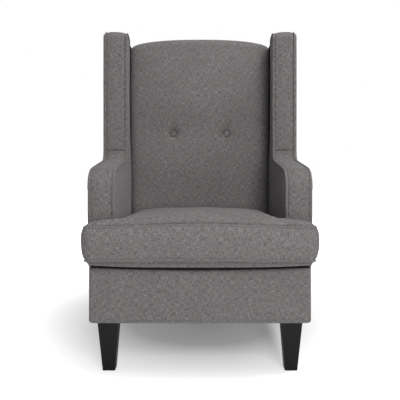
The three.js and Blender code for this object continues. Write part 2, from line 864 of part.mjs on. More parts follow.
// How far a point lies inside the cushion's outline
const cushionEdge = cushionLoop(0).map(({ point }) => point);
function edgeDistance(spot) {
  return Math.min(...cushionEdge.map((a, i) => {
    const b = cushionEdge[(i + 1) % cushionEdge.length];
    const along = b.clone().sub(a);
    const share = THREE.MathUtils.clamp(spot.clone().sub(a).dot(along) / along.lengthSq(), 0, 1);
    return spot.distanceTo(along.multiplyScalar(share).add(a));
  }));
}

// The crown's rise: steep at the welt and level at the reach
function crownAt(spot) {
  const share = Math.min(edgeDistance(spot) / crownReach, 1);
  return cushionCrown * (1 - (1 - share) ** 2);
}

// The cushion's swelling form, shrunk by a wall and standing on a floor: a flat belly, boxing that
// bulges between its two seams, and a crown that rises over the whole T
function cushionForm(wall, floor) {
  const lowSeam = bellyDepth;
  const highSeam = bellyDepth + boxingHeight;
  const earReach = (earBack - cushionFront) / 2;
  const boxingShares = [[0.25, 0.8], [0.5, 1], [0.75, 0.8]];
  const insetShares = [0.15, 0.4, 0.7];
  const innerShares = [0.8, 0.55, 0.28];
  const level = (inset, heightOf) => cushionLoop(inset + wall).map(({ point }) => (
    new THREE.Vector3(point.x, point.y, heightOf(point))
  ));
  const top = (point) => highSeam + crownAt(point) - wall;
  const rings = [
    level(bellyReach, () => floor),
    level(bellyReach / 4, () => bellyDepth / 4 + floor),
    level(0, () => lowSeam + wall),
    ...boxingShares.map(([up, out]) =>
      level(-boxingBulge * out, () => lerp(lowSeam + wall, highSeam - wall, up))),
    level(0, () => highSeam - wall),
    ...insetShares.map((share) => level(share * earReach, top)),
  ];
  const rim = rings.at(-1);
  for (const share of innerShares) {
    rings.push(rim.map(({ x, y }) => {
      const spot = new THREE.Vector2(x * share, lerp(earMiddle, y, share));
      return new THREE.Vector3(spot.x, spot.y, top(spot));
    }));
  }
  return loft(rings, new THREE.Vector3(0, earMiddle, top(new THREE.Vector2(0, earMiddle))));
}

// A cushion welt, seated against its seam all round
function cushionWeltAt(height) {
  const seat = cushionWelt + 2 * gap;
  const loop = cushionLoop(0);
  const rings = loop.map(({ point, normal }) => Array.from({ length: tubeSides }, (_, k) => {
    const angle = (2 * Math.PI * k) / tubeSides;
    const out = seat + cushionWelt * Math.cos(angle);
    return new THREE.Vector3(
      point.x + normal.x * out,
      point.y + normal.y * out,
      height + cushionWelt * Math.sin(angle),
    );
  }));
  const count = rings.length;
  const triangles = [];
  for (let i = 0; i < count; i += 1) {
    for (let k = 0; k < tubeSides; k += 1) {
      const a = i * tubeSides + k;
      const b = i * tubeSides + ((k + 1) % tubeSides);
      const c = ((i + 1) % count) * tubeSides + k;
      const d = ((i + 1) % count) * tubeSides + ((k + 1) % tubeSides);
      triangles.push([a, b, d], [a, d, c]);
    }
  }
  return closedGeometry(rings.flat(), triangles);
}

// The loose cushion: a cover with a zip slot in its rear boxing, its foam core and two welts
function makeCushion() {
  const zipMiddle = bellyDepth + boxingHeight / 2;
  const zip = boxBetween(
    -zipLength / 2,
    zipLength / 2,
    cushionRear - 2 * coverWall,
    cushionRear + boxingBulge + overrun,
    zipMiddle - zipHeight / 2,
    zipMiddle + zipHeight / 2,
  );
  const lifted = (geometry) => tilted(geometry.translate(0, 0, gap));
  place('cushion_cover', lifted(cut(cushionForm(0, 0), [cushionForm(coverWall, coverWall), zip])), 'fabric');
  place('cushion_core', lifted(cushionForm(coverWall + coreEase, coverWall + gap)), 'foam');
  place('cushion_bottom_welt', lifted(cushionWeltAt(bellyDepth)), 'fabric');
  place('cushion_top_welt', lifted(cushionWeltAt(bellyDepth + boxingHeight)), 'fabric');
}

// The inside back's top edge, highest in the middle
function padTopHeight(x) {
  const share = Math.min(Math.abs(x) / seatHalfWidth, 1);
  return lerp(padSideHeight, padMiddleHeight, (1 - share ** 2.6) ** 0.7);
}

// The inside back's face: crowned above the cushion, drawn in at its sides and at its two buttons
function padFace(x, z) {
  const share = Math.abs(x) / seatHalfWidth;
  const swell = THREE.MathUtils.smoothstep(z, padBottom + boxingHeight, buttonHeight);
  const fromButton = Math.hypot(Math.abs(x) - buttonPlace, z - buttonHeight) / (dimpleRadius / 2);
  const dimple = dimpleDepth * Math.exp(-fromButton * fromButton);
  return padFaceAt(z) - padCrown * swell * (1 - share ** 2) + padEdge * share ** 12 + dimple;
}

function padRing(x) {
  const top = padTopHeight(x);
  const under = crestTop + gap;
  const lowShares = [0, 0.3, 0.55, 0.8];
  const dimpleShares = [-1, -0.5, 0, 0.5, 1];
  const highShares = [0.35, 0.7, 1];
  const rollFoot = top - rollRadius;
  const heights = [
    ...lowShares.map((share) => lerp(padBottom, buttonHeight - dimpleRadius, share)),
    ...dimpleShares.map((share) => buttonHeight + dimpleRadius * share),
    ...highShares.map((share) => lerp(buttonHeight + dimpleRadius, rollFoot, share)),
  ];
  const rollFace = padFace(x, rollFoot);
  const rollShares = [0.25, 0.5, 0.75, 1];
  const rearCorner = rollRadius / 2;
  const ring = [
    ...heights.map((z) => [padFace(x, z), z]),
    ...rollShares.map((share) => {
      const angle = (share * Math.PI) / 2;
      return [rollFace + rollRadius * (1 - Math.cos(angle)), rollFoot + rollRadius * Math.sin(angle)];
    }),
    [rearInsideAt(top) - rearCorner, top],
    [rearInsideAt(top - rearCorner), top - rearCorner],
    [rearInsideAt(top - rollDrop), top - rollDrop],
    [rearInsideAt(top - rollDrop) - rollLip, top - rollDrop],
    [rearInsideAt(under) - rollLip, under],
    [padBackAt(under), under],
    [padBackAt(padBottom), padBottom],
  ];
  return ring.map(([y, z]) => new THREE.Vector3(x, y, z));
}

// The crowned inside back with its two buttons, each in a pocket with its shank in a bore
function makeInsideBack() {
  const buttonShares = [-1, -0.5, 0, 0.5, 1];
  const sideShares = [0.3, 0.6, 0.82, 0.94, 1];
  const beside = buttonPlace + dimpleRadius;
  const half = [
    0,
    ...buttonShares.map((share) => buttonPlace + dimpleRadius * share),
    ...sideShares.map((share) => lerp(beside, seatHalfWidth, share)),
  ];
  const across = [...half.slice(1).reverse().map((x) => -x), ...half];
  const floor = padFace(buttonPlace, buttonHeight);
  const alongY = (radius, y0, y1) => {
    const bar = new THREE.CylinderGeometry(radius, radius, y1 - y0, roundSides);
    return bar.translate(buttonPlace, (y0 + y1) / 2, buttonHeight);
  };
  const pockets = sides.flatMap(([, sign]) => [
    onSide(alongY(buttonRadius + gap, floor - 2 * dimpleDepth, floor), sign),
    onSide(alongY(buttonShank + gap, floor - gap, floor + shankLength + gap), sign),
  ]);
  place('inside_back', cut(loft(across.map(padRing)), pockets), 'fabric');

  const domeShares = [[1, 0], [1, 0.35], [0.8, 0.75], [0.45, 0.95]];
  const profile = [
    new THREE.Vector2(0, -shankLength),
    new THREE.Vector2(buttonShank, -shankLength),
    new THREE.Vector2(buttonShank, 0),
    ...domeShares.map(([out, up]) => new THREE.Vector2(buttonRadius * out, buttonDome * up)),
    new THREE.Vector2(0, buttonDome),
  ];
  const button = new THREE.LatheGeometry(profile, roundSides).rotateX(Math.PI);
  button.translate(buttonPlace, floor - gap, buttonHeight);
  for (const [side, sign] of sides) {
    const closed = geometryOf(solid(button));
    place(`${side}_back_button`, onSide(closed, sign), 'fabric');
  }
}

// The back frame's two rails between the back posts, and the webbing on their front faces
function makeBackFrame() {
  const railEnd = frameInside - gap;
  const leaning = (z0, z1, start, depth) => [
    [padBackAt(z0) + start, z0],
    [padBackAt(z1) + start, z1],
    [padBackAt(z1) + start + depth, z1],
    [padBackAt(z0) + start + depth, z0],
  ];
  const railStart = webbingThickness + 2 * gap;
  const rails = [
    ['crest_rail', crestTop - crestRailHeight, crestTop],
    ['lower_back_rail', lowerBackRailFoot, lowerBackRailFoot + lowerBackRailHeight],
  ];
  for (const [name, z0, z1] of rails) {
    place(name, sidePlate(leaning(z0, z1, railStart, backFrameDepth), -railEnd, railEnd), 'wood');
  }
  const strap = leaning(lowerBackRailFoot, crestTop, gap, webbingThickness);
  for (let i = 0; i < webbingCount; i += 1) {
    const x = (i - (webbingCount - 1) / 2) * webbingPitch;
    place(`back_webbing_${i + 1}`, sidePlate(strap, x - webbingWidth / 2, x + webbingWidth / 2), 'webbing');
  }
}

// The outside back, a thin leaning panel whose top follows the inside back's
function makeOutsideBack() {
  const edge = halfWidth - backPanelInset;
  const shares = [0, 0.35, 0.65, 0.85, 0.96, 1];
  const half = [...shares.map((share) => share * seatHalfWidth), edge];
  const across = [...half.slice(1).reverse().map((x) => -x), ...half];
  const rings = across.map((x) => {
    const top = padTopHeight(x) - backPanelDrop;
    return [
      [rearAt(legHeight) - backPanel, legHeight],
      [rearAt(top) - backPanel, top],
      [rearAt(top), top],
      [rearAt(legHeight), legHeight],
    ].map(([y, z]) => new THREE.Vector3(x, y, z));
  });
  place('outside_back', loft(rings), 'fabric');
}

makeSeatFrame();
makeCorners();
makeDustCover();
makeBaseFront();
makeDeck();
makeSprings();
makeSideFrames();
makeSideCovers();
makeBackFrame();
makeInsideBack();
makeOutsideBack();
makeCushion();

// The chair stands with its footprint centred under it
const bounds = new THREE.Box3().setFromObject(chair);
chair.position.y = -(bounds.min.y + bounds.max.y) / 2;

export default chair;
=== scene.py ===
"""Dresses the frame of a wingback armchair: its padded covers, borders, welts, cushion and legs."""

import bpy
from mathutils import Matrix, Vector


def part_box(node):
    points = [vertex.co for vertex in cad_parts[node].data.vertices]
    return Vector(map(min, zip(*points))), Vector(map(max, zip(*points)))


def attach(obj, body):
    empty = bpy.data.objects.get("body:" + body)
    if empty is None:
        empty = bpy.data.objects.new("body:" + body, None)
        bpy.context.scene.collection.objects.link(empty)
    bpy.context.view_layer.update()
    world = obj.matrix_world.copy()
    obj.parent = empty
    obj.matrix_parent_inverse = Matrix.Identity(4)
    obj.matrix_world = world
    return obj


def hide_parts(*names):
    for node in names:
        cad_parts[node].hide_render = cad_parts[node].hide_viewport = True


bl_info = {
    "name": "Wingback Armchair",
    "version": (1, 0, 0),
    "blender": (4, 5, 0),
    "location": "3D View > Sidebar > Armchair",
    "description": "Upholstered covers, welts, cushion, legs and studio of a wingback armchair",
    "category": "Add Mesh",
}

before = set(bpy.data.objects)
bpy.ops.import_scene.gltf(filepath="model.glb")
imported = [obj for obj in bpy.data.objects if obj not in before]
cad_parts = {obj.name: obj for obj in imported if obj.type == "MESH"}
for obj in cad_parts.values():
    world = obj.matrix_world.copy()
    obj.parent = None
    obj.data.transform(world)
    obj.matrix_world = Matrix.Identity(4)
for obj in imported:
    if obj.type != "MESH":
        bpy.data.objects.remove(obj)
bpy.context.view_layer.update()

import math

import bpy
import numpy as np
from bpy.props import FloatProperty, FloatVectorProperty, PointerProperty

SIDES = (("left", -1.0), ("right", 1.0))

# Places read from the frame, in metres. Depths are counted back from FRONT_Y
WELT_LOW, WELT_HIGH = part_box("right_outer_welt")
DECK_LOW, DECK_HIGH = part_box("seat_deck")
BASE_LOW, BASE_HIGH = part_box("base_front")
BACK_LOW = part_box("inside_back")[0]
REAR_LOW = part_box("outside_back")[0]
PANEL_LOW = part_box("right_outside_panel")[0]
FRONT_Y = WELT_LOW.y + (WELT_HIGH.x - WELT_LOW.x) / 2
STRIP_FOOT = WELT_LOW.z
STRIP_REAR = WELT_HIGH.y - FRONT_Y

# Thicknesses and small distances, in metres
OUTSIDE_SKIN = 0.0045
BACK_SKIN = 0.010
STRIP_SKIN = 0.006
HUB = 0.012  # radius of the circle that the rings of a side's pad shrink to
PAINTED_SHADE_AT, PAINTED_SHADE_WIDTH = 0.0025, 0.0022  # the painted shade line beside an inside cover's outline
SEAM_GAP = 0.0003  # from the seam of a border to each of its two lengths
FOAM_INSET = 0.006
EAR_SPREAD = 0.003  # how far an ear leans out at its top and in at its foot
LEG_PROUD = 0.0015  # how far a leg stands past its solid

# How finely the pieces are made
ARC_POINTS = 25  # on a rounded corner
CORD_SIDES = 12  # round a piping
BATCH = 4000  # points whose distances are worked out together
PILLOW_GRID, PILLOW_ROUNDS = 0.010, 6000
CLOTH_FRAMES = 20
PAD_STEPS = np.array([  # how far each ring of a side's pad has shrunk to its hub
    0, .003, .008, .015, .024, .036, .05, .07, .1, .14, .2, .28, .38, .5, .63, .76, .88, 1.0])


def number(name, default, description, **kind):
    """A number that a user can change."""
    return FloatProperty(name=name, default=default, description=description, **kind)


def length(name, default, description):
    """A size in metres that a user can change."""
    return number(name, default, description, unit="LENGTH", precision=4)


def power(name, default, description):
    """A lamp's power that a user can change."""
    return number(name, default, description, unit="POWER")


def colour(name, default, description):
    """A colour that a user can change."""
    return FloatVectorProperty(
        name=name, default=default, size=3, subtype="COLOR", min=0, max=1, description=description
    )


class ArmchairSizes(bpy.types.PropertyGroup):
    """The sizes of the covers."""

    arm_height: length("Arm height", 0.645, "Height of the arm line at the arm front")
    arm_rise: length("Arm rise", 0.031, "How far the arm line climbs on its way to the wing")
    arm_radius: length("Arm corner", 0.060, "Radius of the arm's front corner")
    wing_depth: length("Wing depth", 0.304, "How far the wing front stands behind the arm front")
    wing_height: length("Wing height", 1.147, "Height of the wing's front corner")
    wing_fall: length("Wing fall", 0.015, "How far the wing top falls on its way back")
    wing_radius: length("Wing corner", 0.025, "Radius of the wing's front corner")
    scoop_radius: length("Scoop", 0.034, "Radius of the hollow where the arm meets the wing")
    seam_height: length("Border seam", 0.709, "Height of the seam between arm border and wing border")
    inner_arm: length("Inner welt at arm", 0.2728, "Half width at the arm's inner welt")
    inner_wing: length("Inner welt at wing", 0.2697, "Half width at the wing's inner welt")
    outer_arm: length("Outer welt at arm", 0.3492, "Half width at the arm's outer welt")
    outer_wing: length("Outer welt at wing", 0.3470, "Half width at the wing's outer welt")
    groove: length("Groove", 0.0030, "Depth of the groove beside an outer welt")
    inner_groove: length("Inner groove", 0.0060, "Depth of the groove beside an inner welt")
    groove_width: length("Groove width", 0.0030, "Width of the groove beside a welt")
    inner_drop: length("Inner drop", 0.0035, "How far a border's inner edge lies below its outer one")
    border_crown: length("Border crown", 0.0052, "How far the padded border swells past its welts")
    junction_low: length("Tuck at seat", 0.2755, "Half width where arm and back meet at the seat")
    junction_high: length("Tuck at top", 0.2838, "Half width where wing and back meet at the top")
    back_crown: length("Back crown", 0.024, "How far the inside back swells towards the sitter")
    back_side: length("Back side height", 1.1295, "Height of the inside back beside the wings")
    back_rise: length("Back rise", 0.0315, "How far the middle of the back stands above its sides")
    button_place: length("Button place", 0.106, "Distance of each button from the middle")
    button_height: length("Button height", 0.777, "Height of the two buttons")
    button_radius: length("Button radius", 0.0118, "Radius of a covered button")
    valley: length("Button line", 0.013, "How far the back draws in along the line of its buttons")
    top_fall: length("Top fall", 0.016, "How far the inside back curves away towards its top")
    dimple: length("Dimple", 0.014, "Depth of the dimple that a button draws in")
    back_foot: length("Back foot", 0.462, "Depth of the inside back's flat at its foot")
    back_top: length("Back top", 0.508, "Depth of the inside back's flat at its top")
    back_tuck: length("Back tuck", 0.024, "How far the inside back falls away beside the wings")
    back_roll: length("Back roll", 0.034, "Radius of the roll over the top of the back")
    rear_foot: length("Rear foot", 0.615, "Depth of the rear plane at its foot")
    rear_top: length("Rear top", 0.665, "Depth of the rear plane at the wing top")
    side_width: length("Side half width", 0.3562, "Half width over the outside panels")
    side_foot: length("Side foot", 0.3500, "Half width over the outside panels at their foot")
    inner_crown: length("Inside padding", 0.003, "How far the inside covers swell")
    piping: length("Piping", 0.0029, "Radius of the piping on the sides")
    piping_cushion: length("Cushion piping", 0.0031, "Radius of the piping on the cushion")
    base_half_width: length("Base half width", 0.350, "Half width of the base front")
    base_brow: length("Base brow", 0.0070, "How far the base front's top dips at the middle")
    base_corner: length("Base corner", 0.009, "Radius of the base's lower corners")
    base_turn: length("Base turn", 0.010, "Radius of the base front's ends")
    leg_top: length("Leg top", 0.067, "Width of a leg at its top")
    leg_bottom: length("Leg bottom", 0.040, "Width of a leg at its foot")
    leg_taper: length("Leg taper", 0.015, "How far a leg's outer faces draw in")
    leg_edge: length("Leg edge", 0.0014, "Radius of a leg's eased edges")
    cushion_front: length("Cushion front", -0.068, "Depth of the cushion's front seam")
    cushion_rear: length("Cushion rear", 0.446, "Depth of the cushion's rear seam")
    ear_back: length("Ear back", -0.020, "Depth of the rear of the cushion's ears")
    ear_half_width: length("Ear half width", 0.3525, "Half width of the cushion over its ears")
    ear_radius: length("Ear corner", 0.008, "Radius of the ears' corners")
    neck_half_width: length("Neck half width", 0.2604, "Half width of the cushion between the arms")
    neck_radius: length("Neck corner", 0.010, "Radius of the hollow behind an ear")
    rear_radius: length("Rear corner", 0.030, "Radius of the cushion's rear corners")
    seam_rise: length("Seam rise", 0.007, "How far the upper seam rises at the front's middle")
    seam_arch: length("Seam arch", 0.0050, "How far the lower seam rises at the front's middle")
    seam_lift: length("Seam lift", 0.0012, "How far the lower seam rises along the front")
    tilt_depth: length("Tilt depth", 0.0098, "Depth about which the seat leans back")
    seat_tilt: number("Seat tilt", math.radians(3.0), "How far the seat leans back", subtype="ANGLE")
    crown_edge: length("Crown at seam", 0.0180, "How far the cushion's top rises just inside its seam")
    crown: length("Cushion crown", 0.0235, "Further rise of the cushion's top to its middle")
    crown_reach: length("Crown reach", 0.024, "Distance over which the crown rises from the seam")
    boxing: length("Boxing", 0.1035, "Height between the cushion's two seams")
    belly: length("Belly", 0.0225, "Depth of the cushion below its lower seam")
    front_lift: length("Front lift", 0.0005, "How far the belly clears the deck at the cushion's front")
    ear_lift: length("Ear lift", 0.0090, "How much further the belly clears the arms under the ears")
    bulge: length("Boxing bulge", 0.0115, "How far the boxing swells before the cushion is blown up")
    pressure: number("Pressure", 4.0, "Pressure that blows up the cushion's cloth")
    weave_grid: length("Cloth grid", 0.0062, "Distance between the points of the simulated cloth")
    swell_cap: length("Swell cap", 0.006, "Furthest that blowing up moves the cushion's cloth")
    # Painted light: how bright the floor's camera-only glow grows away from the chair
    floor_glow: number("Floor glow", 0.5, "White that the floor shows the camera")
    room_light: number("Room light", 0.15, "Strength of the light from all round")
    front_light: power("Front light", 61.0, "Power of the low front lamp")
    key_light: power("Key light", 24.5, "Power of the high front lamp")
    side_light: power("Side light", 46.0, "Power of the lamp at the right")
    top_light: power("Top light", 43.0, "Power of the lamp above")
    lens: number("Lens", 52.0, "Focal length in millimetres on a 36 mm sensor")
    lens_shift: number("Lens shift", -0.1175, "Upright shift of the lens")
    camera_distance: length("Camera distance", 1.82, "Distance of the camera in front of the arms")
    camera_height: length("Camera height", 0.700, "Height of the camera")
    thread: length("Thread pitch", 0.0011, "Distance between two threads of the cloth")


class ArmchairColours(bpy.types.PropertyGroup):
    """The colours of the finishes, in linear light."""

    cloth: colour("Cloth", (0.172, 0.160, 0.160), "Heather grey linen cloth")
    cloth_dark: colour("Cloth slubs", (0.088, 0.081, 0.081), "Darker threads in the cloth")
    cloth_light: colour("Cloth flecks", (0.295, 0.277, 0.277), "Paler threads in the cloth")
    lining: colour("Lining", (0.012, 0.012, 0.012), "Black lining cloth")
    # Painted shade: colour of the near-black sheet in front of the front posts, which stands for the shadow
    # in the gap under the cushion
    shade_cloth: colour("Apron", (0.004, 0.004, 0.004), "Black lining in front of the front posts")
    leg: colour("Leg", (0.0078, 0.0078, 0.0078), "Black stain on the legs")
    wood: colour("Frame wood", (0.42, 0.27, 0.14), "Bare hardwood of the frame")
    steel: colour("Steel", (0.42, 0.43, 0.45), "Zinc-plated steel")
    foam: colour("Foam", (0.72, 0.66, 0.48), "Cushion foam")
    webbing: colour("Webbing", (0.20, 0.13, 0.07), "Jute webbing")
    glide: colour("Glide", (0.010, 0.010, 0.010), "Hard plastic glides")


def sizes():
    return bpy.context.scene.armchair_sizes


def colours():
    return bpy.context.scene.armchair_colours


# Curves

def smooth(value, low, high):
    """0 below low and 1 above high, with a smooth step 3t^2 - 2t^3 between."""
    t = np.clip((value - low) / (high - low), 0.0, 1.0)
    return t * t * (3.0 - 2.0 * t)


def blend(a, b, share):
    """a turning into b: a + (b - a) share."""
    return a + (b - a) * share


def bell(value, width):
    """1 at 0, falling to both sides as e^-(value / width)^2."""
    return np.exp(-((value / width) ** 2))


def dome(distance, reach):
    """0 at a rim and 1 from reach inwards: 1 - (1 - distance / reach)^2."""
    return 1.0 - (1.0 - np.clip(distance / reach, 0.0, 1.0)) ** 2


def rounding(distance, radius):
    """How far a round edge of this radius has drawn in at a distance from its end."""
    near = np.clip(radius - distance, 0.0, radius)
    return radius - np.sqrt(radius ** 2 - near ** 2)


def ripple(u, v, pitch, seed):
    """A soft uneven wave between about -1 and 1: four sines of different ways and phases."""
    phases = np.random.default_rng(seed).uniform(0.0, 2.0 * math.pi, 4)
    k = 2.0 * math.pi / pitch
    return (
        np.sin(k * u + 0.6 * k * v + phases[0])
        + np.sin(0.53 * k * u - 0.81 * k * v + phases[1])
        + np.sin(1.7 * k * u + 0.35 * k * v + phases[2]) * 0.6
        + np.sin(-0.45 * k * u + 1.45 * k * v + phases[3]) * 0.6
    ) / 3.2


def bowed(count):
    """Numbers from -1 to 1 that lie closer together towards both ends, as the sine of even steps."""
    end = 0.97 * math.pi / 2
    return np.sin(np.linspace(-1.0, 1.0, count) * end) / math.sin(end)


def graded(low, high, count, spots, reach=0.03, more=2.2):
    """Numbers from low to high that lie closer together near some spots: their spacing is one over
    1 + more e^-(distance / reach)^2, summed over the spots."""
    fine = np.linspace(low, high, 2001)
    crowd = 1.0 + more * sum(bell(fine - spot, reach) for spot in spots)
    run = np.concatenate([[0.0], np.cumsum((crowd[1:] + crowd[:-1]) / 2)])
    return np.interp(np.linspace(0.0, run[-1], count), run, fine)


def columns(*parts):
    """Arrays brought to one shape and put side by side, as the coordinates of points."""
    return np.stack(np.broadcast_arrays(*parts), -1)


def run_of(points):
    """The distance along a line of points at each of them."""
    return np.concatenate([[0.0], np.cumsum(np.linalg.norm(np.diff(points, axis=0), axis=1))])


def rounded_line(corners, pitch):
    """Points every pitch along a line of corners (a, b, radius), with their left-hand normals and
    the distance along the line.

    A corner with a radius is an arc that touches both of its straights, at radius / tan(half of
    the corner's angle) from it."""
    spots = np.array([corner[:2] for corner in corners], float)
    parts = [spots[:1]]
    for i in range(1, len(corners) - 1):
        here, radius = spots[i], corners[i][2]
        if not radius:
            parts.append(here[None])
            continue
        back = spots[i - 1] - here
        onward = spots[i + 1] - here
        back, onward = back / np.linalg.norm(back), onward / np.linalg.norm(onward)
        half = math.acos(float(back @ onward)) / 2
        middle = here + (back + onward) / np.linalg.norm(back + onward) * radius / math.sin(half)
        start = here + back * radius / math.tan(half) - middle
        sign = -1.0 if back[0] * onward[1] - back[1] * onward[0] > 0 else 1.0
        angles = sign * np.linspace(0.0, math.pi - 2 * half, ARC_POINTS)
        cos, sin = np.cos(angles), np.sin(angles)
        parts.append(columns(start[0] * cos - start[1] * sin, start[0] * sin + start[1] * cos) + middle)
    parts.append(spots[-1:])
    rough = np.concatenate(parts)
    run = run_of(rough)
    places = np.linspace(0.0, run[-1], max(int(round(run[-1] / pitch)), 2) + 1)
    points = columns(*(np.interp(places, run, rough[:, k]) for k in (0, 1)))
    along = np.gradient(points, axis=0)
    along /= np.linalg.norm(along, axis=1, keepdims=True)
    return points, columns(-along[:, 1], along[:, 0]), places


def nearest(points, outline):
    """The distance of each point from the nearest point of an outline, and that one's number."""
    flat = points.reshape(-1, 1, 2)
    found = np.empty(len(flat), int)
    for k in range(0, len(flat), BATCH):
        found[k:k + BATCH] = np.linalg.norm(flat[k:k + BATCH] - outline[None], axis=2).argmin(1)
    found = found.reshape(points.shape[:-1])
    return np.linalg.norm(points - outline[found], axis=-1), found


# Meshes

def read(items, name, width=1, kind=np.float32):
    """One property of a mesh's points, corners or faces, as an array of this width."""
    found = np.empty(len(items) * width, kind)
    items.foreach_get(name, found)
    return found.reshape(-1, width) if width > 1 else found


def write(items, name, values, kind=np.float32):
    """Puts an array into one property of a mesh's points, corners or faces."""
    items.foreach_set(name, np.ascontiguousarray(values, kind).ravel())


def coordinates(mesh):
    return read(mesh.vertices, "co", 3).astype(float)


def put_coordinates(mesh, points):
    write(mesh.vertices, "co", points)
    mesh.update()


def mark(mesh, name, values):
    """Notes a value at each point of a mesh, such as how strongly painted shade darkens it there, from 0 to
    1.
    """
    write(mesh.attributes.new(name, "FLOAT", "POINT").data, "value", values)


def lay_cloth(mesh, places):
    """Notes the cloth's place, in metres, at each corner of each face."""
    write(mesh.uv_layers.new(name="cloth").data, "uv", places)


def placed(name, data):
    """A new object in the scene."""
    made = bpy.data.objects.new(name, data)
    bpy.context.scene.collection.objects.link(made)
    return made


def final_mesh(piece):
    """A new mesh of a piece as its modifiers leave it."""
    bpy.context.view_layer.update()
    return bpy.data.meshes.new_from_object(piece.evaluated_get(bpy.context.evaluated_depsgraph_get()))


def mesh_from(name, points, quads, cloth):
    """A smooth mesh from points, four-cornered faces and the cloth's place at each corner of each
    face. The faces are turned out where their signed volume is negative."""
    a, b, c, d = (points[quads[:, k]] for k in range(4))
    volume = np.einsum("ij,ij->i", a, np.cross(b, c)) + np.einsum("ij,ij->i", a, np.cross(c, d))
    if volume.sum() < 0:
        quads, cloth = quads[:, ::-1], cloth[:, ::-1]
    mesh = bpy.data.meshes.new(name)
    mesh.vertices.add(len(points))
    write(mesh.vertices, "co", points)
    mesh.loops.add(quads.size)
    write(mesh.loops, "vertex_index", quads, np.int32)
    mesh.polygons.add(len(quads))
    write(mesh.polygons, "loop_start", np.arange(0, quads.size, 4), np.int32)
    mesh.update(calc_edges=True)
    write(mesh.polygons, "use_smooth", np.ones(len(quads)), bool)
    lay_cloth(mesh, cloth)
    mesh.validate()
    mesh.update()
    return placed(name, mesh)


def rings_mesh(name, rings, cloth, loop=False):
    """A closed surface through rings (n, m, 3). cloth is (n + loop, m + 1, 2). Where the rings
    don't close on the first one, each end is closed by faces from one half of the ring to the
    other."""
    n, m = rings.shape[:2]
    rows = np.arange(n if loop else n - 1)
    i, j = np.meshgrid(rows, np.arange(m), indexing="ij")
    i2, j2 = (i + 1) % n, (j + 1) % m
    quads = columns(i * m + j, i2 * m + j, i2 * m + j2, i * m + j2).reshape(-1, 4)
    corners = [(i, j), (i + 1, j), (i + 1, j + 1), (i, j + 1)]
    places = np.stack([cloth[a, b] for a, b in corners], -2).reshape(-1, 4, 2)
    if not loop:
        k = np.arange(m // 2 - 1)
        across = columns(k, k + 1, m - 2 - k, m - 1 - k)
        quads = np.concatenate([quads, across, across[:, ::-1] + (n - 1) * m])
        places = np.concatenate([places, cloth[0][across], cloth[-1][across[:, ::-1]]])
    return mesh_from(name, rings.reshape(-1, 3), quads, places)


def pad_mesh(name, face, back, cloth, crease=None):
    """A closed pad from its face grid and its back grid, both (n, m, 3), joined round their rims. Its
    cloth is darkened by painted shade, given from 0 to 1 at each point of the face."""
    rings = np.concatenate([face, back[:, ::-1]], 1)
    around = np.concatenate([cloth, cloth[:, ::-1], cloth[:, :1]], 1)
    piece = rings_mesh(name, rings, around)
    if crease is not None:
        mark(piece.data, "crease", np.concatenate([crease, 0.0 * crease], 1))
    return piece


def tube(name, middle, across, outward, radius, run, place=None):
    """A round cord of cloth round a line: middle + radius (across cos a + outward sin a). Where
    place is given, the line is a loop, and place carries the cord's points to where it lies."""
    angle = np.linspace(0.0, 2.0 * math.pi, CORD_SIDES + 1)
    turn = angle[:-1, None]
    rings = middle[:, None] + radius * (across[:, None] * np.cos(turn) + outward[:, None] * np.sin(turn))
    cloth = columns(angle * radius, run[:, None])
    return rings_mesh(name, place(rings) if place else rings, cloth, loop=bool(place))


def finish(piece, slot, body, *nodes, look=None):
    """Gives a piece the finish of its slot, or of another that look names, puts it in its body, and
    hides the solids that it stands for."""
    piece.data.materials.append(finishes()[look or slot])
    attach(piece, body)
    if nodes:
        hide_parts(*nodes)


# Finishes

def node_of(tree, kind, **values):
    """A node of this kind. Names of inputs are given with _ for a space."""
    made = tree.nodes.new(kind)
    for name, value in values.items():
        if hasattr(made, name):
            setattr(made, name, value)
        else:
            made.inputs[name.replace("_", " ")].default_value = value
    return made


def feed(tree, socket, value):
    """Sets an input to a number or a colour, or links it to another node's output."""
    if isinstance(value, (int, float, tuple)):
        socket.default_value = value
    else:
        tree.links.new(value, socket)


def group_tree(name, inputs):
    """A new shader node group with its input node and its output node. It takes numbers and
    colours, as their defaults in inputs tell, and puts out a colour, a roughness and a height."""
    tree = bpy.data.node_groups.new(name, "ShaderNodeTree")
    for label, default in inputs.items():
        kind = "NodeSocketFloat" if isinstance(default, float) else "NodeSocketColor"
        tree.interface.new_socket(name=label, in_out="INPUT", socket_type=kind).default_value = default
    for label, kind in (("Colour", "Color"), ("Roughness", "Float"), ("Height", "Float")):
        tree.interface.new_socket(name=label, in_out="OUTPUT", socket_type="NodeSocket" + kind)
    return tree, tree.nodes.new("NodeGroupInput").outputs, tree.nodes.new("NodeGroupOutput").inputs


def maths(tree, operation, a, b=0.0, clamp=False):
    """a and b joined by an operation; either is a socket or a number."""
    made = tree.nodes.new("ShaderNodeMath")
    made.operation, made.use_clamp = operation, clamp
    for socket, value in zip(made.inputs, (a, b)):
        feed(tree, socket, value)
    return made.outputs[0]


def mixed(tree, share, a, b):
    """Colour a turning into colour b by a share."""
    made = tree.nodes.new("ShaderNodeMix")
    made.data_type = "RGBA"
    for socket, value in ((made.inputs[0], share), (made.inputs[6], a), (made.inputs[7], b)):
        feed(tree, socket, value)
    return made.outputs[2]


def ranged(tree, value, low, high, to_low=0.0, to_high=1.0):
    """value carried from low..high to to_low..to_high, held at both ends."""
    made = node_of(tree, "ShaderNodeMapRange", From_Min=low, From_Max=high)
    for label, part in (("Value", value), ("To Min", to_low), ("To Max", to_high)):
        feed(tree, made.inputs[label], part)
    return made.outputs["Result"]


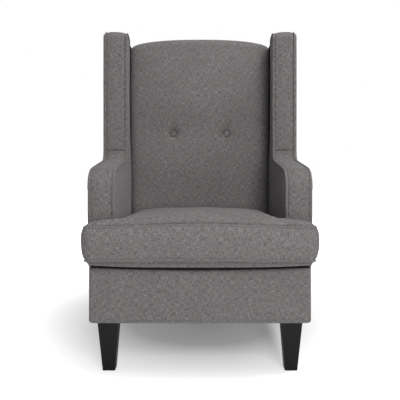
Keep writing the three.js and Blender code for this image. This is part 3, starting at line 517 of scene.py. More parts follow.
def noise(tree, vector, size, detail=2.0, shape=(1.0, 1.0, 1.0)):
    """Soft noise with features of about this size in metres, drawn out by shape."""
    scaled = node_of(tree, "ShaderNodeMapping", Scale=tuple(1.0 / (size * part) for part in shape))
    made = node_of(tree, "ShaderNodeTexNoise", Scale=1.0, Detail=detail, Roughness=0.55)
    feed(tree, scaled.inputs["Vector"], vector)
    feed(tree, made.inputs["Vector"], scaled.outputs[0])
    return made.outputs["Fac"]


def cloth_group():
    """Plain-woven linen of heathered yarn. Two noises drawn out along the two ways of the thread
    are its slubs: where their sum is low the yarn is dark, and where it is high the yarn is pale. A
    third noise mottles both, a wide one shades the cloth as a whole, and painted shade darkens it
    where a mesh notes it, along seams and welts. The product of two sine waves is its over and under."""
    tree, given, put = group_tree("Heather linen", {
        "Cloth": (0.17, 0.16, 0.16, 1), "Dark yarn": (0.12, 0.11, 0.11, 1),
        "Pale yarn": (0.23, 0.22, 0.22, 1), "Thread pitch": 0.0011,
    })
    place = node_of(tree, "ShaderNodeUVMap", uv_map="cloth").outputs[0]
    slub, drawn_out = 0.0018, 8.0
    warp = noise(tree, place, slub, 2.0, (1.0, drawn_out, 1.0))
    weft = noise(tree, place, slub, 2.0, (drawn_out, 1.0, 1.0))
    crossed = maths(tree, "ADD", warp, weft)
    mottle = noise(tree, place, 0.0028, 3.0)
    cloud = noise(tree, place, 0.090)
    dark, pale = (
        maths(tree, "ADD", ranged(tree, crossed, *yarn), ranged(tree, mottle, *spots))
        for yarn, spots in (((0.97, 0.76), (0.56, 0.74, 0.0, 0.3)), ((1.01, 1.24), (0.46, 0.30, 0.0, 0.25)))
    )
    toned = mixed(tree, dark, given["Cloth"], given["Dark yarn"])
    flecked = mixed(tree, maths(tree, "MULTIPLY", pale, 0.85, True), toned, given["Pale yarn"])
    # Painted shade: where a mesh's painted shade attribute is 1, the colour falls to 0.3 of itself
    crease = node_of(tree, "ShaderNodeAttribute", attribute_name="crease").outputs["Fac"]
    shade = ranged(tree, cloud, 0.3, 0.7, 0.955, 1.045)
    shade = maths(tree, "MULTIPLY", shade, ranged(tree, crease, 0.0, 1.0, 1.0, 0.3))
    level = node_of(tree, "ShaderNodeHueSaturation")
    feed(tree, level.inputs["Color"], flecked)
    feed(tree, level.inputs["Value"], shade)
    split = tree.nodes.new("ShaderNodeSeparateXYZ")
    feed(tree, split.inputs[0], place)
    turn = maths(tree, "DIVIDE", math.pi, given["Thread pitch"])
    over, under = (
        maths(tree, "SINE", maths(tree, "MULTIPLY", split.outputs[k], turn)) for k in (0, 1)
    )
    thread = maths(tree, "MULTIPLY", maths(tree, "MULTIPLY", over, under), 0.25)
    feed(tree, put["Colour"], level.outputs[0])
    feed(tree, put["Roughness"], ranged(tree, mottle, 0.3, 0.7, 0.84, 0.96))
    feed(tree, put["Height"], maths(tree, "ADD", thread, maths(tree, "MULTIPLY", crossed, 0.9)))
    return tree


def grain_group():
    """Wood grain: rings from a noise drawn out along the board, with short dark pores in them."""
    tree, given, put = group_tree("Wood grain", {"Wood": (0.4, 0.3, 0.2, 1), "Pore": (0.2, 0.1, 0.1, 1)})
    place = tree.nodes.new("ShaderNodeTexCoord").outputs["Object"]
    rings = ranged(tree, noise(tree, place, 0.010, 3.0, (1.0, 1.0, 12.0)), 0.35, 0.65, 0.0, 0.6)
    pores = noise(tree, place, 0.0014, 2.0, (1.0, 1.0, 16.0))
    share = maths(tree, "ADD", rings, ranged(tree, pores, 0.55, 0.7, 0.0, 0.4))
    feed(tree, put["Colour"], mixed(tree, share, given["Wood"], given["Pore"]))
    feed(tree, put["Roughness"], ranged(tree, pores, 0.3, 0.7, 0.38, 0.58))
    feed(tree, put["Height"], pores)
    return tree


def speckle_group():
    """A plain material's slight unevenness: a noise of several scales over its colour."""
    tree, given, put = group_tree("Fine unevenness", {
        "Colour": (0.5, 0.5, 0.5, 1), "Worn colour": (0.4, 0.4, 0.4, 1), "Feature size": 0.004,
        "Least roughness": 0.3, "Most roughness": 0.5,
    })
    scaled = node_of(tree, "ShaderNodeVectorMath", operation="SCALE")
    feed(tree, scaled.inputs[0], tree.nodes.new("ShaderNodeTexCoord").outputs["Object"])
    feed(tree, scaled.inputs["Scale"], maths(tree, "DIVIDE", 1.0, given["Feature size"]))
    spots = node_of(tree, "ShaderNodeTexNoise", Scale=1.0, Detail=5.0, Roughness=0.6)
    feed(tree, spots.inputs["Vector"], scaled.outputs[0])
    share = ranged(tree, spots.outputs["Fac"], 0.35, 0.7)
    rough = ranged(tree, share, 0.0, 1.0, given["Least roughness"], given["Most roughness"])
    feed(tree, put["Colour"], mixed(tree, share, given["Colour"], given["Worn colour"]))
    feed(tree, put["Roughness"], rough)
    feed(tree, put["Height"], spots.outputs["Fac"])
    return tree


def material(name, group, values, metallic=0.0, sheen=0.0, gloss=0.5, bump=0.2, depth=0.001):
    """A material whose colour, roughness and bump come from a group with these values."""
    made = bpy.data.materials.new("chair_" + name)
    made.use_nodes = True
    tree = made.node_tree
    shader = tree.nodes["Principled BSDF"]
    for label, value in (("Metallic", metallic), ("Sheen Weight", sheen), ("Sheen Roughness", 0.4),
                         ("Specular IOR Level", gloss)):
        shader.inputs[label].default_value = value
    source = tree.nodes.new("ShaderNodeGroup")
    source.node_tree = group
    for label, value in values.items():
        source.inputs[label].default_value = value
    dents = node_of(tree, "ShaderNodeBump", Strength=bump, Distance=depth)
    feed(tree, shader.inputs["Base Color"], source.outputs["Colour"])
    feed(tree, shader.inputs["Roughness"], source.outputs["Roughness"])
    feed(tree, dents.inputs["Height"], source.outputs["Height"])
    feed(tree, shader.inputs["Normal"], dents.outputs[0])
    return made


def solid(value, level=1.0):
    """A colour at this level, with its alpha."""
    return tuple(min(part * level, 1.0) for part in value) + (1.0,)


FINISHES = (
    "upholstery", "frame_wood", "black_wood", "lining", "shade_cloth", "steel", "foam", "webbing", "glide",
)


def finishes():
    """The chair's materials by their name, made once."""
    made = {name: bpy.data.materials.get("chair_" + name) for name in FINISHES}
    if all(made.values()):
        return made
    tone = colours()
    linen, grain, plain = cloth_group(), grain_group(), speckle_group()
    made["upholstery"] = material("upholstery", linen, {
        "Cloth": solid(tone.cloth), "Dark yarn": solid(tone.cloth_dark),
        "Pale yarn": solid(tone.cloth_light), "Thread pitch": sizes().thread,
    }, sheen=0.12, gloss=0.25, bump=0.55, depth=0.0009)
    made["frame_wood"] = material("frame_wood", grain, {
        "Wood": solid(tone.wood), "Pore": solid(tone.wood, 0.6)})
    made["black_wood"] = material("black_wood", grain, {
        "Wood": solid(tone.leg), "Pore": solid(tone.leg, 0.6)}, bump=0.12, depth=0.0004, gloss=0.12)
    for name, worn, feature, least, most, metal in (
            ("lining", 1.6, 0.0012, 0.85, 0.95, 0.0),
            ("shade_cloth", 1.6, 0.0012, 0.85, 0.95, 0.0),
            ("steel", 0.8, 0.003, 0.28, 0.45, 1.0),
            ("foam", 0.86, 0.0015, 0.9, 0.98, 0.0),
            ("webbing", 0.7, 0.0016, 0.85, 0.95, 0.0),
            ("glide", 1.5, 0.002, 0.4, 0.55, 0.0)):
        tint = getattr(tone, name)
        made[name] = material(name, plain, {
            "Colour": solid(tint), "Worn colour": solid(tint, worn), "Feature size": feature,
            "Least roughness": least, "Most roughness": most}, metallic=metal)
    return made


# The finish of a solid of the frame, by the first of these words that its name holds
FRAME_FINISHES = (
    ("spring", "steel"), ("bolt", "steel"), ("webbing", "webbing"), ("glide", "glide"), ("core", "foam"),
    ("dust_cover", "lining"), ("deck", "lining"), ("leg", "black_wood"), ("rail", "frame_wood"),
    ("post", "frame_wood"), ("frame", "frame_wood"), ("block", "frame_wood"),
)


class ARMCHAIR_OT_frame_finish(bpy.types.Operator):
    """Gives the hidden frame its wood, steel, webbing and foam"""

    bl_idname = "armchair.frame_finish"
    bl_label = "Frame finish"

    def execute(self, context):
        made = finishes()
        for name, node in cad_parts.items():
            kind = next((finish_of for word, finish_of in FRAME_FINISHES if word in name), "upholstery")
            if not node.material_slots:
                node.data.materials.append(made[kind])
            for slot in node.material_slots:
                slot.material = made[kind]
        return {"FINISHED"}


# The sides

def side_corners(foot, rear_top, rear_foot, top_radius=0.006):
    """Corners (depth, height, radius) of a side's outline: up the arm front, back along the arm,
    up the wing front, back along the wing top, and down the rear."""
    s = sizes()
    rise = s.arm_height + s.arm_rise
    return [
        (0.0, foot, 0.0), (0.0, s.arm_height, s.arm_radius), (s.wing_depth, rise, s.scoop_radius),
        (s.wing_depth, s.wing_height, s.wing_radius), (rear_top, s.wing_height - s.wing_fall, top_radius),
        (rear_foot, foot, 0.0), (0.0, foot, 0.0),
    ]


def inner_welt_at(depth):
    """Half width at the inner welt. It draws in by a smooth step where the arm turns up into the
    wing, and widens again from the wing front to the back with the square of the depth."""
    s = sizes()
    drawn = blend(s.inner_arm, s.inner_wing, smooth(depth, s.wing_depth - 0.045, s.wing_depth - 0.002))
    return blend(drawn, s.junction_high, np.clip((depth - s.wing_depth) / 0.20, 0.0, 1.05) ** 2)


def outer_welt_at(depth):
    """Half width at the outer welt, which draws in by a smooth step along the arm."""
    s = sizes()
    return blend(s.outer_arm, s.outer_wing, smooth(depth, 0.05, s.wing_depth))


def side_at(height):
    """Half width over the outside panels, which spread by a smooth step over the base's height."""
    s = sizes()
    return blend(s.side_foot, s.side_width, smooth(height, 0.30, 0.52))


def tuck_at(height):
    """Half width of the tuck beside the back, which spreads by a smooth step above the seat."""
    s = sizes()
    return blend(s.junction_low, s.junction_high, smooth(height, 0.52, 1.0))


def side_pad(name, corners, centre, face_at, behind, side, crease=0.0):
    """A padded panel inside an outline. Its rings shrink from the outline to a small circle round
    centre, first over its face and then back over its rear, which lies behind(distance from the
    outline) further out. Its cloth is darkened by painted shade of this strength, as a bell beside the
    outline."""
    outline = rounded_line(corners, 0.007)[0][:-1]
    away = outline - centre
    angle = np.arctan2(away[:, 1], away[:, 0])
    hub = centre + HUB * columns(np.cos(angle), np.sin(angle))
    flat = outline + (hub - outline) * PAD_STEPS[:, None, None]
    distance, _ = nearest(flat, outline)
    depth, height = flat[..., 0], flat[..., 1]
    face = columns(face_at(depth, height, distance), FRONT_Y + depth, height)
    back = face.copy()
    back[..., 0] += behind(distance)
    rings = np.concatenate([face[::-1], back[1:]]) * (side, 1.0, 1.0)
    cloth = np.concatenate([flat[::-1], flat[1:]])
    piece = rings_mesh(name, rings, np.concatenate([cloth, cloth[:, :1]], 1))
    # Painted shade: a dark line just inside the outline
    dark = crease * bell(distance - PAINTED_SHADE_AT, PAINTED_SHADE_WIDTH)
    mark(piece.data, "crease", np.concatenate([dark[::-1], 0.0 * dark[1:]]))
    return piece


class ARMCHAIR_OT_outside_panels(bpy.types.Operator):
    """Stretches the outside covers over both sides, down to the feet"""

    bl_idname = "armchair.outside_panels"
    bl_label = "Outside panels"

    def execute(self, context):
        s = sizes()

        def face_at(depth, height, distance):
            stretch = 0.0005 * ripple(depth, height, 0.16, 3) * dome(distance, 0.08)
            turned = rounding(height - PANEL_LOW.z, s.base_corner) * (1.0 - dome(depth, 0.03) * 0.5)
            return blend(outer_welt_at(depth), side_at(height), dome(distance, 0.006)) + stretch - turned

        corners = side_corners(PANEL_LOW.z, s.rear_top - 0.007, s.rear_foot - 0.007)
        centre = np.array([0.47, 0.52])
        for label, side in SIDES:
            piece = side_pad(
                label + "_outside_cover", corners, centre, face_at, lambda distance: -OUTSIDE_SKIN, side)
            finish(piece, "upholstery", "chair", label + "_outside_panel")
        return {"FINISHED"}


class ARMCHAIR_OT_inside_panels(bpy.types.Operator):
    """Pads the inner faces of wings and arms, and tucks them behind the back"""

    bl_idname = "armchair.inside_panels"
    bl_label = "Inside wings and arms"

    def execute(self, context):
        s = sizes()

        def face_at(depth, height, distance):
            up_wing = smooth(height, s.arm_height - 0.03, s.arm_height + 0.12)
            front, start = blend(s.inner_arm, s.inner_wing, up_wing), blend(0.0, s.wing_depth, up_wing)
            share = np.clip((depth - start) / (back_depth(height) - start), 0.0, 1.2)
            rim = 0.002 * dome(distance, 0.012)
            swell = s.inner_crown * dome(distance, 0.035)
            fold = 0.0006 * ripple(depth, height, 0.19, 8) * dome(distance, 0.08)
            return blend(front, tuck_at(height), share ** 2) + rim - swell + fold

        def behind(distance):
            return 0.001 + 0.009 * dome(distance, 0.012)

        foot = (0.020, 0.302, 0.0)
        toe = [foot, (0.020, 0.350, 0.0), (0.0, 0.362, 0.0)]
        corners = [*toe, *side_corners(0.302, 0.585, 0.545)[1:-1], foot]
        centre = np.array([0.43, 0.52])
        for label, side in SIDES:
            # 0.8 is the strength of the painted shade line beside each inside cover's outline
            piece = side_pad(label + "_inside_cover", corners, centre, face_at, behind, side, 0.8)
            finish(piece, "upholstery", "chair", label + "_inside_wing_and_arm")
        return {"FINISHED"}


def strip_lines():
    """The two lengths of border of a side, as lines of (depth, height), normals and run: the arm's
    from its foot to the seam on the wing front, and the wing's from there to the rear."""
    s = sizes()
    corners = side_corners(STRIP_FOOT, STRIP_REAR, s.rear_foot)
    arm = corners[:3] + [(s.wing_depth, s.seam_height - SEAM_GAP, 0.0)]
    wing = [(s.wing_depth, s.seam_height + SEAM_GAP, 0.0), corners[3], (STRIP_REAR, corners[4][1], 0.0)]
    return rounded_line(arm, 0.0035), rounded_line(wing, 0.0035)


class ARMCHAIR_OT_borders(bpy.types.Operator):
    """Carries the padded border down the wing and over the arm, with its seam on the wing front"""

    bl_idname = "armchair.borders"
    bl_label = "Borders"

    def execute(self, context):
        s = sizes()
        t = 0.5 - 0.5 * np.cos(np.linspace(0.0, math.pi, 23))
        padding = 1.0 - np.abs(2.0 * t - 1.0) ** 2.6
        for label, side in SIDES:
            for part, (points, normals, run), seam_end in zip(("arm", "wing"), strip_lines(), (-1, 0)):
                depth, height, run = points[:, :1], points[:, 1:], run[:, None]
                low = inner_welt_at(depth) + s.piping * 0.4
                high = outer_welt_at(depth) - s.piping * 0.4
                across = blend(low, high, t)
                up_wing = smooth(depth, 0.03, s.wing_depth)
                swell = padding * (s.border_crown + 0.0007 * ripple(run, across, 0.075, 5))
                drawn = 1.0 - 0.35 * bell(run - run[seam_end], 0.0035)
                trench = s.inner_groove * bell(across - low, s.groove_width)
                trench += s.groove * blend(0.3, 1.0, up_wing) * bell(high - across, s.groove_width)
                # Painted shade: a painted shade line runs just inside the inner welt, stronger up the wing;
                # the whole border is also darkened a little
                crease = 0.12 + blend(0.50, 0.75, up_wing) * bell(across - low - 0.0034, 0.0028)
                proud = swell * drawn - trench - s.inner_drop * (1.0 - t)
                face, back = (
                    columns(
                        side * across, FRONT_Y + depth + normals[:, :1] * out, height + normals[:, 1:] * out)
                    for out in (proud, -STRIP_SKIN)
                )
                name = "{}_{}_border".format(label, part)
                piece = pad_mesh(name, face, back, columns(across, run), crease)
                finish(piece, "upholstery", "chair", name + "_strip")
        return {"FINISHED"}


class ARMCHAIR_OT_welts(bpy.types.Operator):
    """Lays the piping along both edges of each side's border"""

    bl_idname = "armchair.welts"
    bl_label = "Welts"

    def execute(self, context):
        s = sizes()
        corners = side_corners(STRIP_FOOT, STRIP_REAR, s.rear_foot)
        across = np.array([[1.0, 0.0, 0.0]])
        for label, side in SIDES:
            for part, place, drop, foot in (
                    ("inner", inner_welt_at, s.inner_drop, STRIP_FOOT + 0.012),
                    ("outer", outer_welt_at, 0.0, STRIP_FOOT)):
                line = [(0.0, foot, 0.0), *corners[1:4], (STRIP_REAR, corners[4][1], 0.0)]
                points, normals, run = rounded_line(line, 0.003)
                depth, height = points.T
                outward = columns(0.0, *normals.T)
                middle = columns(place(depth) * side, FRONT_Y + depth, height)
                middle += outward * (0.0006 - drop + 0.0003 * ripple(run, 0.0, 0.06, 11))[:, None]
                name = "{}_{}_".format(label, part)
                piece = tube(name + "piping", middle, across, outward, s.piping, run)
                finish(piece, "upholstery", "chair", name + "welt")
        return {"FINISHED"}


# The back

def back_depth(z):
    """Depth of the flat that the inside back is crowned from, which leans back, at a height."""
    s = sizes()
    return blend(s.back_foot, s.back_top, (z - BACK_LOW.z) / (s.back_side - BACK_LOW.z))


def rear_depth(z):
    """Depth of the leaning rear plane at a height."""
    s = sizes()
    return blend(s.rear_foot, s.rear_top, (z - PANEL_LOW.z) / (s.wing_height - s.wing_fall - PANEL_LOW.z))


def back_top_at(share):
    """Height of the back's top edge at a share of its half width: (1 - share^2.6)^0.54 of its rise."""
    s = sizes()
    return s.back_side + s.back_rise * np.clip(1.0 - np.abs(share) ** 2.6, 0.0, 1.0) ** 0.54


def back_half_width(z):
    """Half width of the inside back, which presses 1 mm into the inside covers."""
    return tuck_at(z) + 0.001


def back_face_depth(x, z):
    """Depth of the inside back's face. It swells towards the sitter as 1 - share^2, falls back beside
    the wings as 0.35 share^8 + share^30, draws in along the line of the buttons, and dips at each
    button by a bell of its distance, with a groove at its rim, short puckers and a fold above it."""
    s = sizes()
    share = np.abs(x) / back_half_width(z)
    rim = np.clip(share, 0.0, 1.0)
    above_seat = smooth(z, BACK_LOW.z + s.boxing, s.button_height)
    depth = back_depth(z) - s.back_crown * above_seat * (1 - share ** 2)
    depth += s.valley * bell(z - s.button_height, 0.09) * (1 - share ** 4)
    depth += s.top_fall * np.clip((z - 0.86) / 0.27, 0.0, 1.2) ** 2
    depth += s.back_tuck * (0.35 * rim ** 8 + rim ** 30)
    depth += 0.0012 * ripple(x, z, 0.23, 21) * (1 - share ** 2)
    for _, side in SIDES:
        over, up = x - side * s.button_place, z - s.button_height
        away, angle = np.hypot(over, up), np.arctan2(up, over)
        depth += s.dimple * bell(away, 0.021) + 0.005 * bell(away - s.button_radius - 0.0012, 0.0030)
        puckers = np.cos(5 * angle + 0.6 * side) + 0.6 * np.cos(8 * angle + 1.9)
        depth += 0.0007 * bell(away - 0.028, 0.016) * puckers
        depth += 0.0042 * bell(over - 0.006 * side, 0.010) * bell(up - 0.036, 0.026)
    return depth


class ARMCHAIR_OT_inside_back(bpy.types.Operator):
    """Rolls the crowned inside back over the top of the chair, and sets its two covered buttons"""

    bl_idname = "armchair.inside_back"
    bl_label = "Inside back"

    def execute(self, context):
        s = sizes()
        wide, tall = s.junction_high, s.back_side - BACK_LOW.z
        roll, rear_roll, hem = s.back_roll, s.back_roll * 0.5, 0.06
        share = graded(-wide, wide, 151, (-wide, -s.button_place, s.button_place, wide)) / wide
        top = back_top_at(share)
        foot, rear = top - roll, rear_depth(top) - BACK_SKIN

        part = graded(0.0, tall, 171, (s.button_height - BACK_LOW.z, tall))[:, None] / tall
        z = blend(BACK_LOW.z, foot, part)
        x = share * back_half_width(z)
        front = columns(x, back_face_depth(x, z), z)
        x, start = front[-1, :, 0], front[-1, :, 1]
        turn = np.linspace(0.0, math.pi / 2, 13)[1:, None]
        brow = columns(x, start + roll * (1 - np.cos(turn)), foot + roll * np.sin(turn))
        part = np.linspace(0.0, 1.0, 12)[1:, None]
        level = columns(x, blend(start + roll, rear - rear_roll, part), top + 0.002 * np.sin(math.pi * part))
        turn = np.linspace(0.0, math.pi / 2, 7)[1:, None]
        nape = columns(x, rear - rear_roll * (1 - np.sin(turn)), top - rear_roll * (1 - np.cos(turn)))
        z = top - rear_roll - (hem - rear_roll) * np.linspace(0.0, 1.0, 8)[1:, None]
        tail = columns(x, rear_depth(z) - BACK_SKIN, z)
        face = np.concatenate([front, brow, level, nape, tail])
        face[..., 1] += FRONT_Y

        middle = len(share) // 2
        inward = np.cross(np.gradient(face, axis=0), np.gradient(face, axis=1))
        inward /= np.linalg.norm(inward, axis=-1, keepdims=True)
        inward *= np.sign(inward[40, middle, 1])
        cloth = columns(face[..., 0], run_of(face[:, middle])[:, None])
        piece = pad_mesh("inside_back_cover", face, face + inward * BACK_SKIN, cloth)
        finish(piece, "upholstery", "chair", "inside_back")

        angle = np.linspace(0.0, 2.0 * math.pi, 33)[:-1]
        ring = s.button_radius * np.array([
            [0.05], [0.25], [0.45], [0.63], [0.78], [0.9], [0.98], [1.0], [0.97], [0.88], [0.7], [0.4]])
        stand = np.array([
            [.0078], [.0077], [.0074], [.0067], [.0057], [.0043], [.0024], [.0004], [-.0018], [-.0034],
            [-.004], [-.004]])
        for label, side in SIDES:
            middle = side * s.button_place
            seat = back_face_depth(np.array([middle]), np.array([s.button_height]))
            rings = columns(
                middle + ring * np.cos(angle), FRONT_Y + seat - stand, s.button_height + ring * np.sin(angle))
            cloth = np.concatenate([rings, rings[:, :1]], 1)[..., [0, 2]]
            button = rings_mesh(label + "_covered_button", rings, cloth)
            finish(button, "upholstery", "chair", label + "_back_button")
        return {"FINISHED"}


class ARMCHAIR_OT_outside_back(bpy.types.Operator):
    """Closes the rear of the chair with its plain stretched panel"""

    bl_idname = "armchair.outside_back"
    bl_label = "Outside back"

    def execute(self, context):
        s = sizes()
        half = s.side_width - 0.0012
        x = bowed(91) * half
        top = back_top_at(np.clip(np.abs(x) / back_half_width(1.1), 0.0, 1.0)) - 0.006
        z = blend(REAR_LOW.z, top, bowed(121)[:, None] / 2 + 0.5)
        across = x * side_at(z) / s.side_width
        edge = np.minimum(half - np.abs(x), np.minimum(z - REAR_LOW.z, top - z))
        soft = 0.007 * (1.0 - dome(edge, 0.012)) - 0.0008
        soft += 0.0006 * ripple(across, z, 0.22, 31) * dome(edge, 0.06)
        rear = FRONT_Y + rear_depth(z)
        piece = pad_mesh(
            "outside_back_cover", columns(across, rear - soft, z), columns(across, rear - 0.0095, z),
            columns(across, z))
        finish(piece, "upholstery", "chair", "outside_back")
        return {"FINISHED"}


# The base, the deck and the legs

class ARMCHAIR_OT_base_front(bpy.types.Operator):
    """Wraps the front of the base in one padded board, rounded at its ends and lower corners"""

    bl_idname = "armchair.base_front"
    bl_label = "Base front"

    def execute(self, context):
        s = sizes()
        half, turn, thick = s.base_half_width, s.base_turn, 0.006
        back_y, front_y = BASE_HIGH.y, BASE_LOW.y
        tuck = back_y + 0.004
        ends = [(-half, tuck, 0.0), (-half, front_y, turn), (half, front_y, turn), (half, tuck, 0.0)]
        line, _, run = rounded_line(ends, thick)
        height = BASE_HIGH.z - BASE_LOW.z
        lift = np.concatenate([
            np.linspace(0.0, 0.012, 8), np.linspace(0.016, 1.0, 26) * (height - 0.012),
            height - np.array([0.009, 0.0065, 0.0045, 0.0028, 0.0014, 0.0005, 0.0])])[:, None]
        x = line[:, 0] * (1.0 - rounding(lift, s.base_corner) / half)
        facing = np.clip((back_y - line[:, 1]) / (back_y - front_y), 0.0, 1.0)
        drawn = (rounding(height - lift, 0.007) + rounding(lift, 0.0045)) * facing
        dip = 0.004 + s.base_brow * np.clip(1.0 - (line[:, 0] / (half - 0.02)) ** 2, 0.0, 1.0)
        z = BASE_LOW.z + lift * (1.0 - dip / height)
        face = columns(x, line[:, 1] + drawn + 0.0007 * ripple(x, z, 0.17, 41) * facing, z)
        back = columns(x * (1.0 - thick / half), np.maximum(face[..., 1] + thick, back_y - 0.004), z)
        piece = pad_mesh("base_front_cover", face, back, columns(run, z))
        finish(piece, "upholstery", "chair", "base_front")
        return {"FINISHED"}


class ARMCHAIR_OT_deck(bpy.types.Operator):
    """Covers the seat's springs with the deck cloth and closes the underside with the dust cover"""

    bl_idname = "armchair.deck"
    bl_label = "Deck and dust cover"

    def execute(self, context):
        s = sizes()
        half, front, rear = DECK_HIGH.x, DECK_LOW.y + 0.016, DECK_HIGH.y
        x, y = np.meshgrid(np.linspace(-1.0, 1.0, 61) * half, np.linspace(front, rear, 49))
        edge = np.minimum(half - np.abs(x), np.minimum(y - front, rear - y))
        top = DECK_HIGH.z - np.clip(y - FRONT_Y - s.tilt_depth, 0.0, None) * math.tan(s.seat_tilt) - 0.002
        top += 0.0008 * ripple(x, y, 0.12, 51) - 0.006 * (1.0 - dome(edge, 0.02))
        piece = pad_mesh("deck_cloth", columns(x, y, top), columns(x, y, top - 0.012), columns(x, y))
        finish(piece, "lining", "chair", "seat_deck")

        # Painted shade: a near-black sheet in front of the front posts stands for the shadow in the gap under
        # the cushion
        low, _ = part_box("left_front_post")
        x, z = np.meshgrid(np.linspace(low.x, -low.x, 71), np.linspace(0.309, 0.356, 9))
        front, rear = low.y - 0.0016, low.y - 0.0004
        apron = pad_mesh("deck_apron", columns(x, front, z), columns(x, rear, z), columns(x, z))
        finish(apron, "lining", "chair", look="shade_cloth")

        low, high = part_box("dust_cover")
        thick = high.z - low.z
        x, y = np.meshgrid(np.linspace(low.x, high.x, 61), np.linspace(low.y, high.y, 61))
        edge = np.minimum(np.minimum(x - low.x, high.x - x), np.minimum(y - low.y, high.y - y))
        tacks = 0.0006 * np.cos(2.0 * math.pi * (x + y) / 0.05) * bell(edge, 0.012)
        under = low.z + thick * 0.5 - thick * 0.4 * dome(edge, 0.02) + np.abs(tacks) * 0.3
        piece = pad_mesh("dust_cloth", columns(x, y, high.z), columns(x, y, under), columns(x, y))
        finish(piece, "lining", "chair", "dust_cover")
        return {"FINISHED"}


class ARMCHAIR_OT_legs(bpy.types.Operator):
    """Shapes the four tapered square legs with eased edges"""

    bl_idname = "armchair.legs"
    bl_label = "Legs"

    def execute(self, context):
        s = sizes()
        foot = 0.0012
        signs = np.array([[1, 1], [-1, 1], [-1, -1], [1, -1]])
        turn = np.linspace(0.0, math.pi / 2, 8) + np.arange(4)[:, None] * math.pi / 2
        share = np.concatenate([[0.0, 0.003, 0.009, 0.024], np.linspace(0.06, 1.0, 12)])
        for place in ("front", "rear"):
            for label, side in SIDES:
                name = "{}_{}_leg".format(place, label)
                low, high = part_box(name)
                lift = share * (high.z - foot)
                width = blend(s.leg_bottom, s.leg_top, share)
                half = width / 2 - 0.0008 * np.clip(1.0 - lift / 0.0015, 0.0, 1.0) ** 2
                flat = (half - s.leg_edge)[:, None, None]
                inset = s.leg_taper * (1.0 - share) + width / 2
                u, v = (
                    (signs[:, k, None] * flat + s.leg_edge * wave(turn)).reshape(len(share), -1)
                    for k, wave in ((0, np.cos), (1, np.sin)))
                middle_x = side * (max(abs(low.x), abs(high.x)) + LEG_PROUD - inset)
                middle_y = low.y - LEG_PROUD + inset
                rings = columns(middle_x[:, None] + u, middle_y[:, None] + v, (foot + lift)[:, None])
                cloth = columns(np.linspace(0.0, 4.0 * s.leg_top, 33), lift[:, None])
                finish(rings_mesh(name + "_shaped", rings, cloth), "black_wood", "chair", name)
        return {"FINISHED"}


# The cushion

def cushion_line(pitch=0.006):
    """The seam's T-shaped outline, as (x, depth) points round the cushion with outward normals."""
    s = sizes()
    ear, neck = s.ear_half_width, s.neck_half_width
    right = [
        (ear, s.cushion_front, s.ear_radius), (ear, s.ear_back, s.ear_radius),
        (neck, s.ear_back, s.neck_radius), (neck, s.cushion_rear, s.rear_radius)]
    left = [(-x, depth, radius) for x, depth, radius in reversed(right)]
    middle = (0.0, s.cushion_front, 0.0)
    points, normals, run = rounded_line([middle, *right, *left, middle], pitch)
    return points[:-1], -normals[:-1], run


def cushion_place(points):
    """Carries points of the level cushion to the seat. Along the front the upper seam rises as
    (1 - (x / 0.26)^2)^1.5 and the lower one as 1 - (x / 0.30)^2. The ears lean out by a smooth step
    over their width, and the whole cushion leans back about the deck's front."""
    s = sizes()
    x, depth, z = np.moveaxis(points, -1, 0)
    ahead = 1.0 - smooth(depth, s.ear_back - 0.01, s.ear_back + 0.12)
    share = np.clip((z - s.belly) / s.boxing, 0.0, 1.0)
    high = s.seam_rise * np.clip(1.0 - (x / 0.26) ** 2, 0.0, 1.0) ** 1.5
    arch = np.clip(1.0 - (x / 0.30) ** 2, 0.0, 1.0) * np.clip(z / s.belly, 0.0, 1.0)
    z = z + ahead * blend(s.seam_lift + s.seam_arch * arch, high, share)
    ear = smooth(np.abs(x), s.neck_half_width + 0.01, s.ear_half_width)
    x = x + np.sign(x) * ear * blend(-EAR_SPREAD, EAR_SPREAD, share)
    cos, sin = math.cos(s.seat_tilt), math.sin(s.seat_tilt)
    over, up = depth - s.tilt_depth, z + 0.0003
    return columns(x, FRONT_Y + s.tilt_depth + over * cos + up * sin, DECK_HIGH.z - over * sin + up * cos)


def inside_of(x, y, outline):
    """Whether each place lies inside an outline: a line to its right crosses it an odd number of times."""
    x, y = x[..., None], y[..., None]
    x0, y0 = outline.T
    x1, y1 = np.roll(x0, -1), np.roll(y0, -1)
    rise = np.where(y1 == y0, 1e-12, y1 - y0)
    crossed = ((y0 > y) != (y1 > y)) & (x < x0 + (y - y0) * (x1 - x0) / rise)
    return crossed.sum(-1) % 2 == 1


def pillow(points, outline):
    """Height, from 0 to 1, of a skin blown up inside an outline: u^0.65, where the Laplacian of u is
    -1 inside and u is 0 on the outline, solved on a square grid and read between its points."""
    step = PILLOW_GRID
    low = outline.min(0) - step
    shape = np.ceil((outline.max(0) - low) / step).astype(int) + 2
    gx, gy = np.meshgrid(*(low[k] + step * np.arange(shape[k]) for k in (0, 1)), indexing="ij")
    within = inside_of(gx, gy, outline)[1:-1, 1:-1]
    u = np.zeros(gx.shape)
    for _ in range(PILLOW_ROUNDS):
        around = u[2:, 1:-1] + u[:-2, 1:-1] + u[1:-1, 2:] + u[1:-1, :-2]
        u[1:-1, 1:-1] = np.where(within, (around + step * step) / 4, 0.0)
    place = (points - low) / step
    cell = np.clip(np.floor(place).astype(int), 0, shape - 2)
    (fx, fy), (i, j) = (place - cell).T, cell.T
    level = blend(blend(u[i, j], u[i + 1, j], fx), blend(u[i, j + 1], u[i + 1, j + 1], fx), fy)
    return (np.clip(level, 0.0, None) / u.max()) ** 0.65


def remeshed(name, points, faces, voxel):
    """An even mesh of small squares in place of a coarse closed one."""
    mesh = bpy.data.meshes.new(name)
    mesh.from_pydata(points.tolist(), [], faces)
    rough = placed(name, mesh)
    finer = rough.modifiers.new("even", "REMESH")
    finer.mode, finer.voxel_size = "VOXEL", voxel
    even = final_mesh(rough)
    bpy.data.objects.remove(rough)
    return even


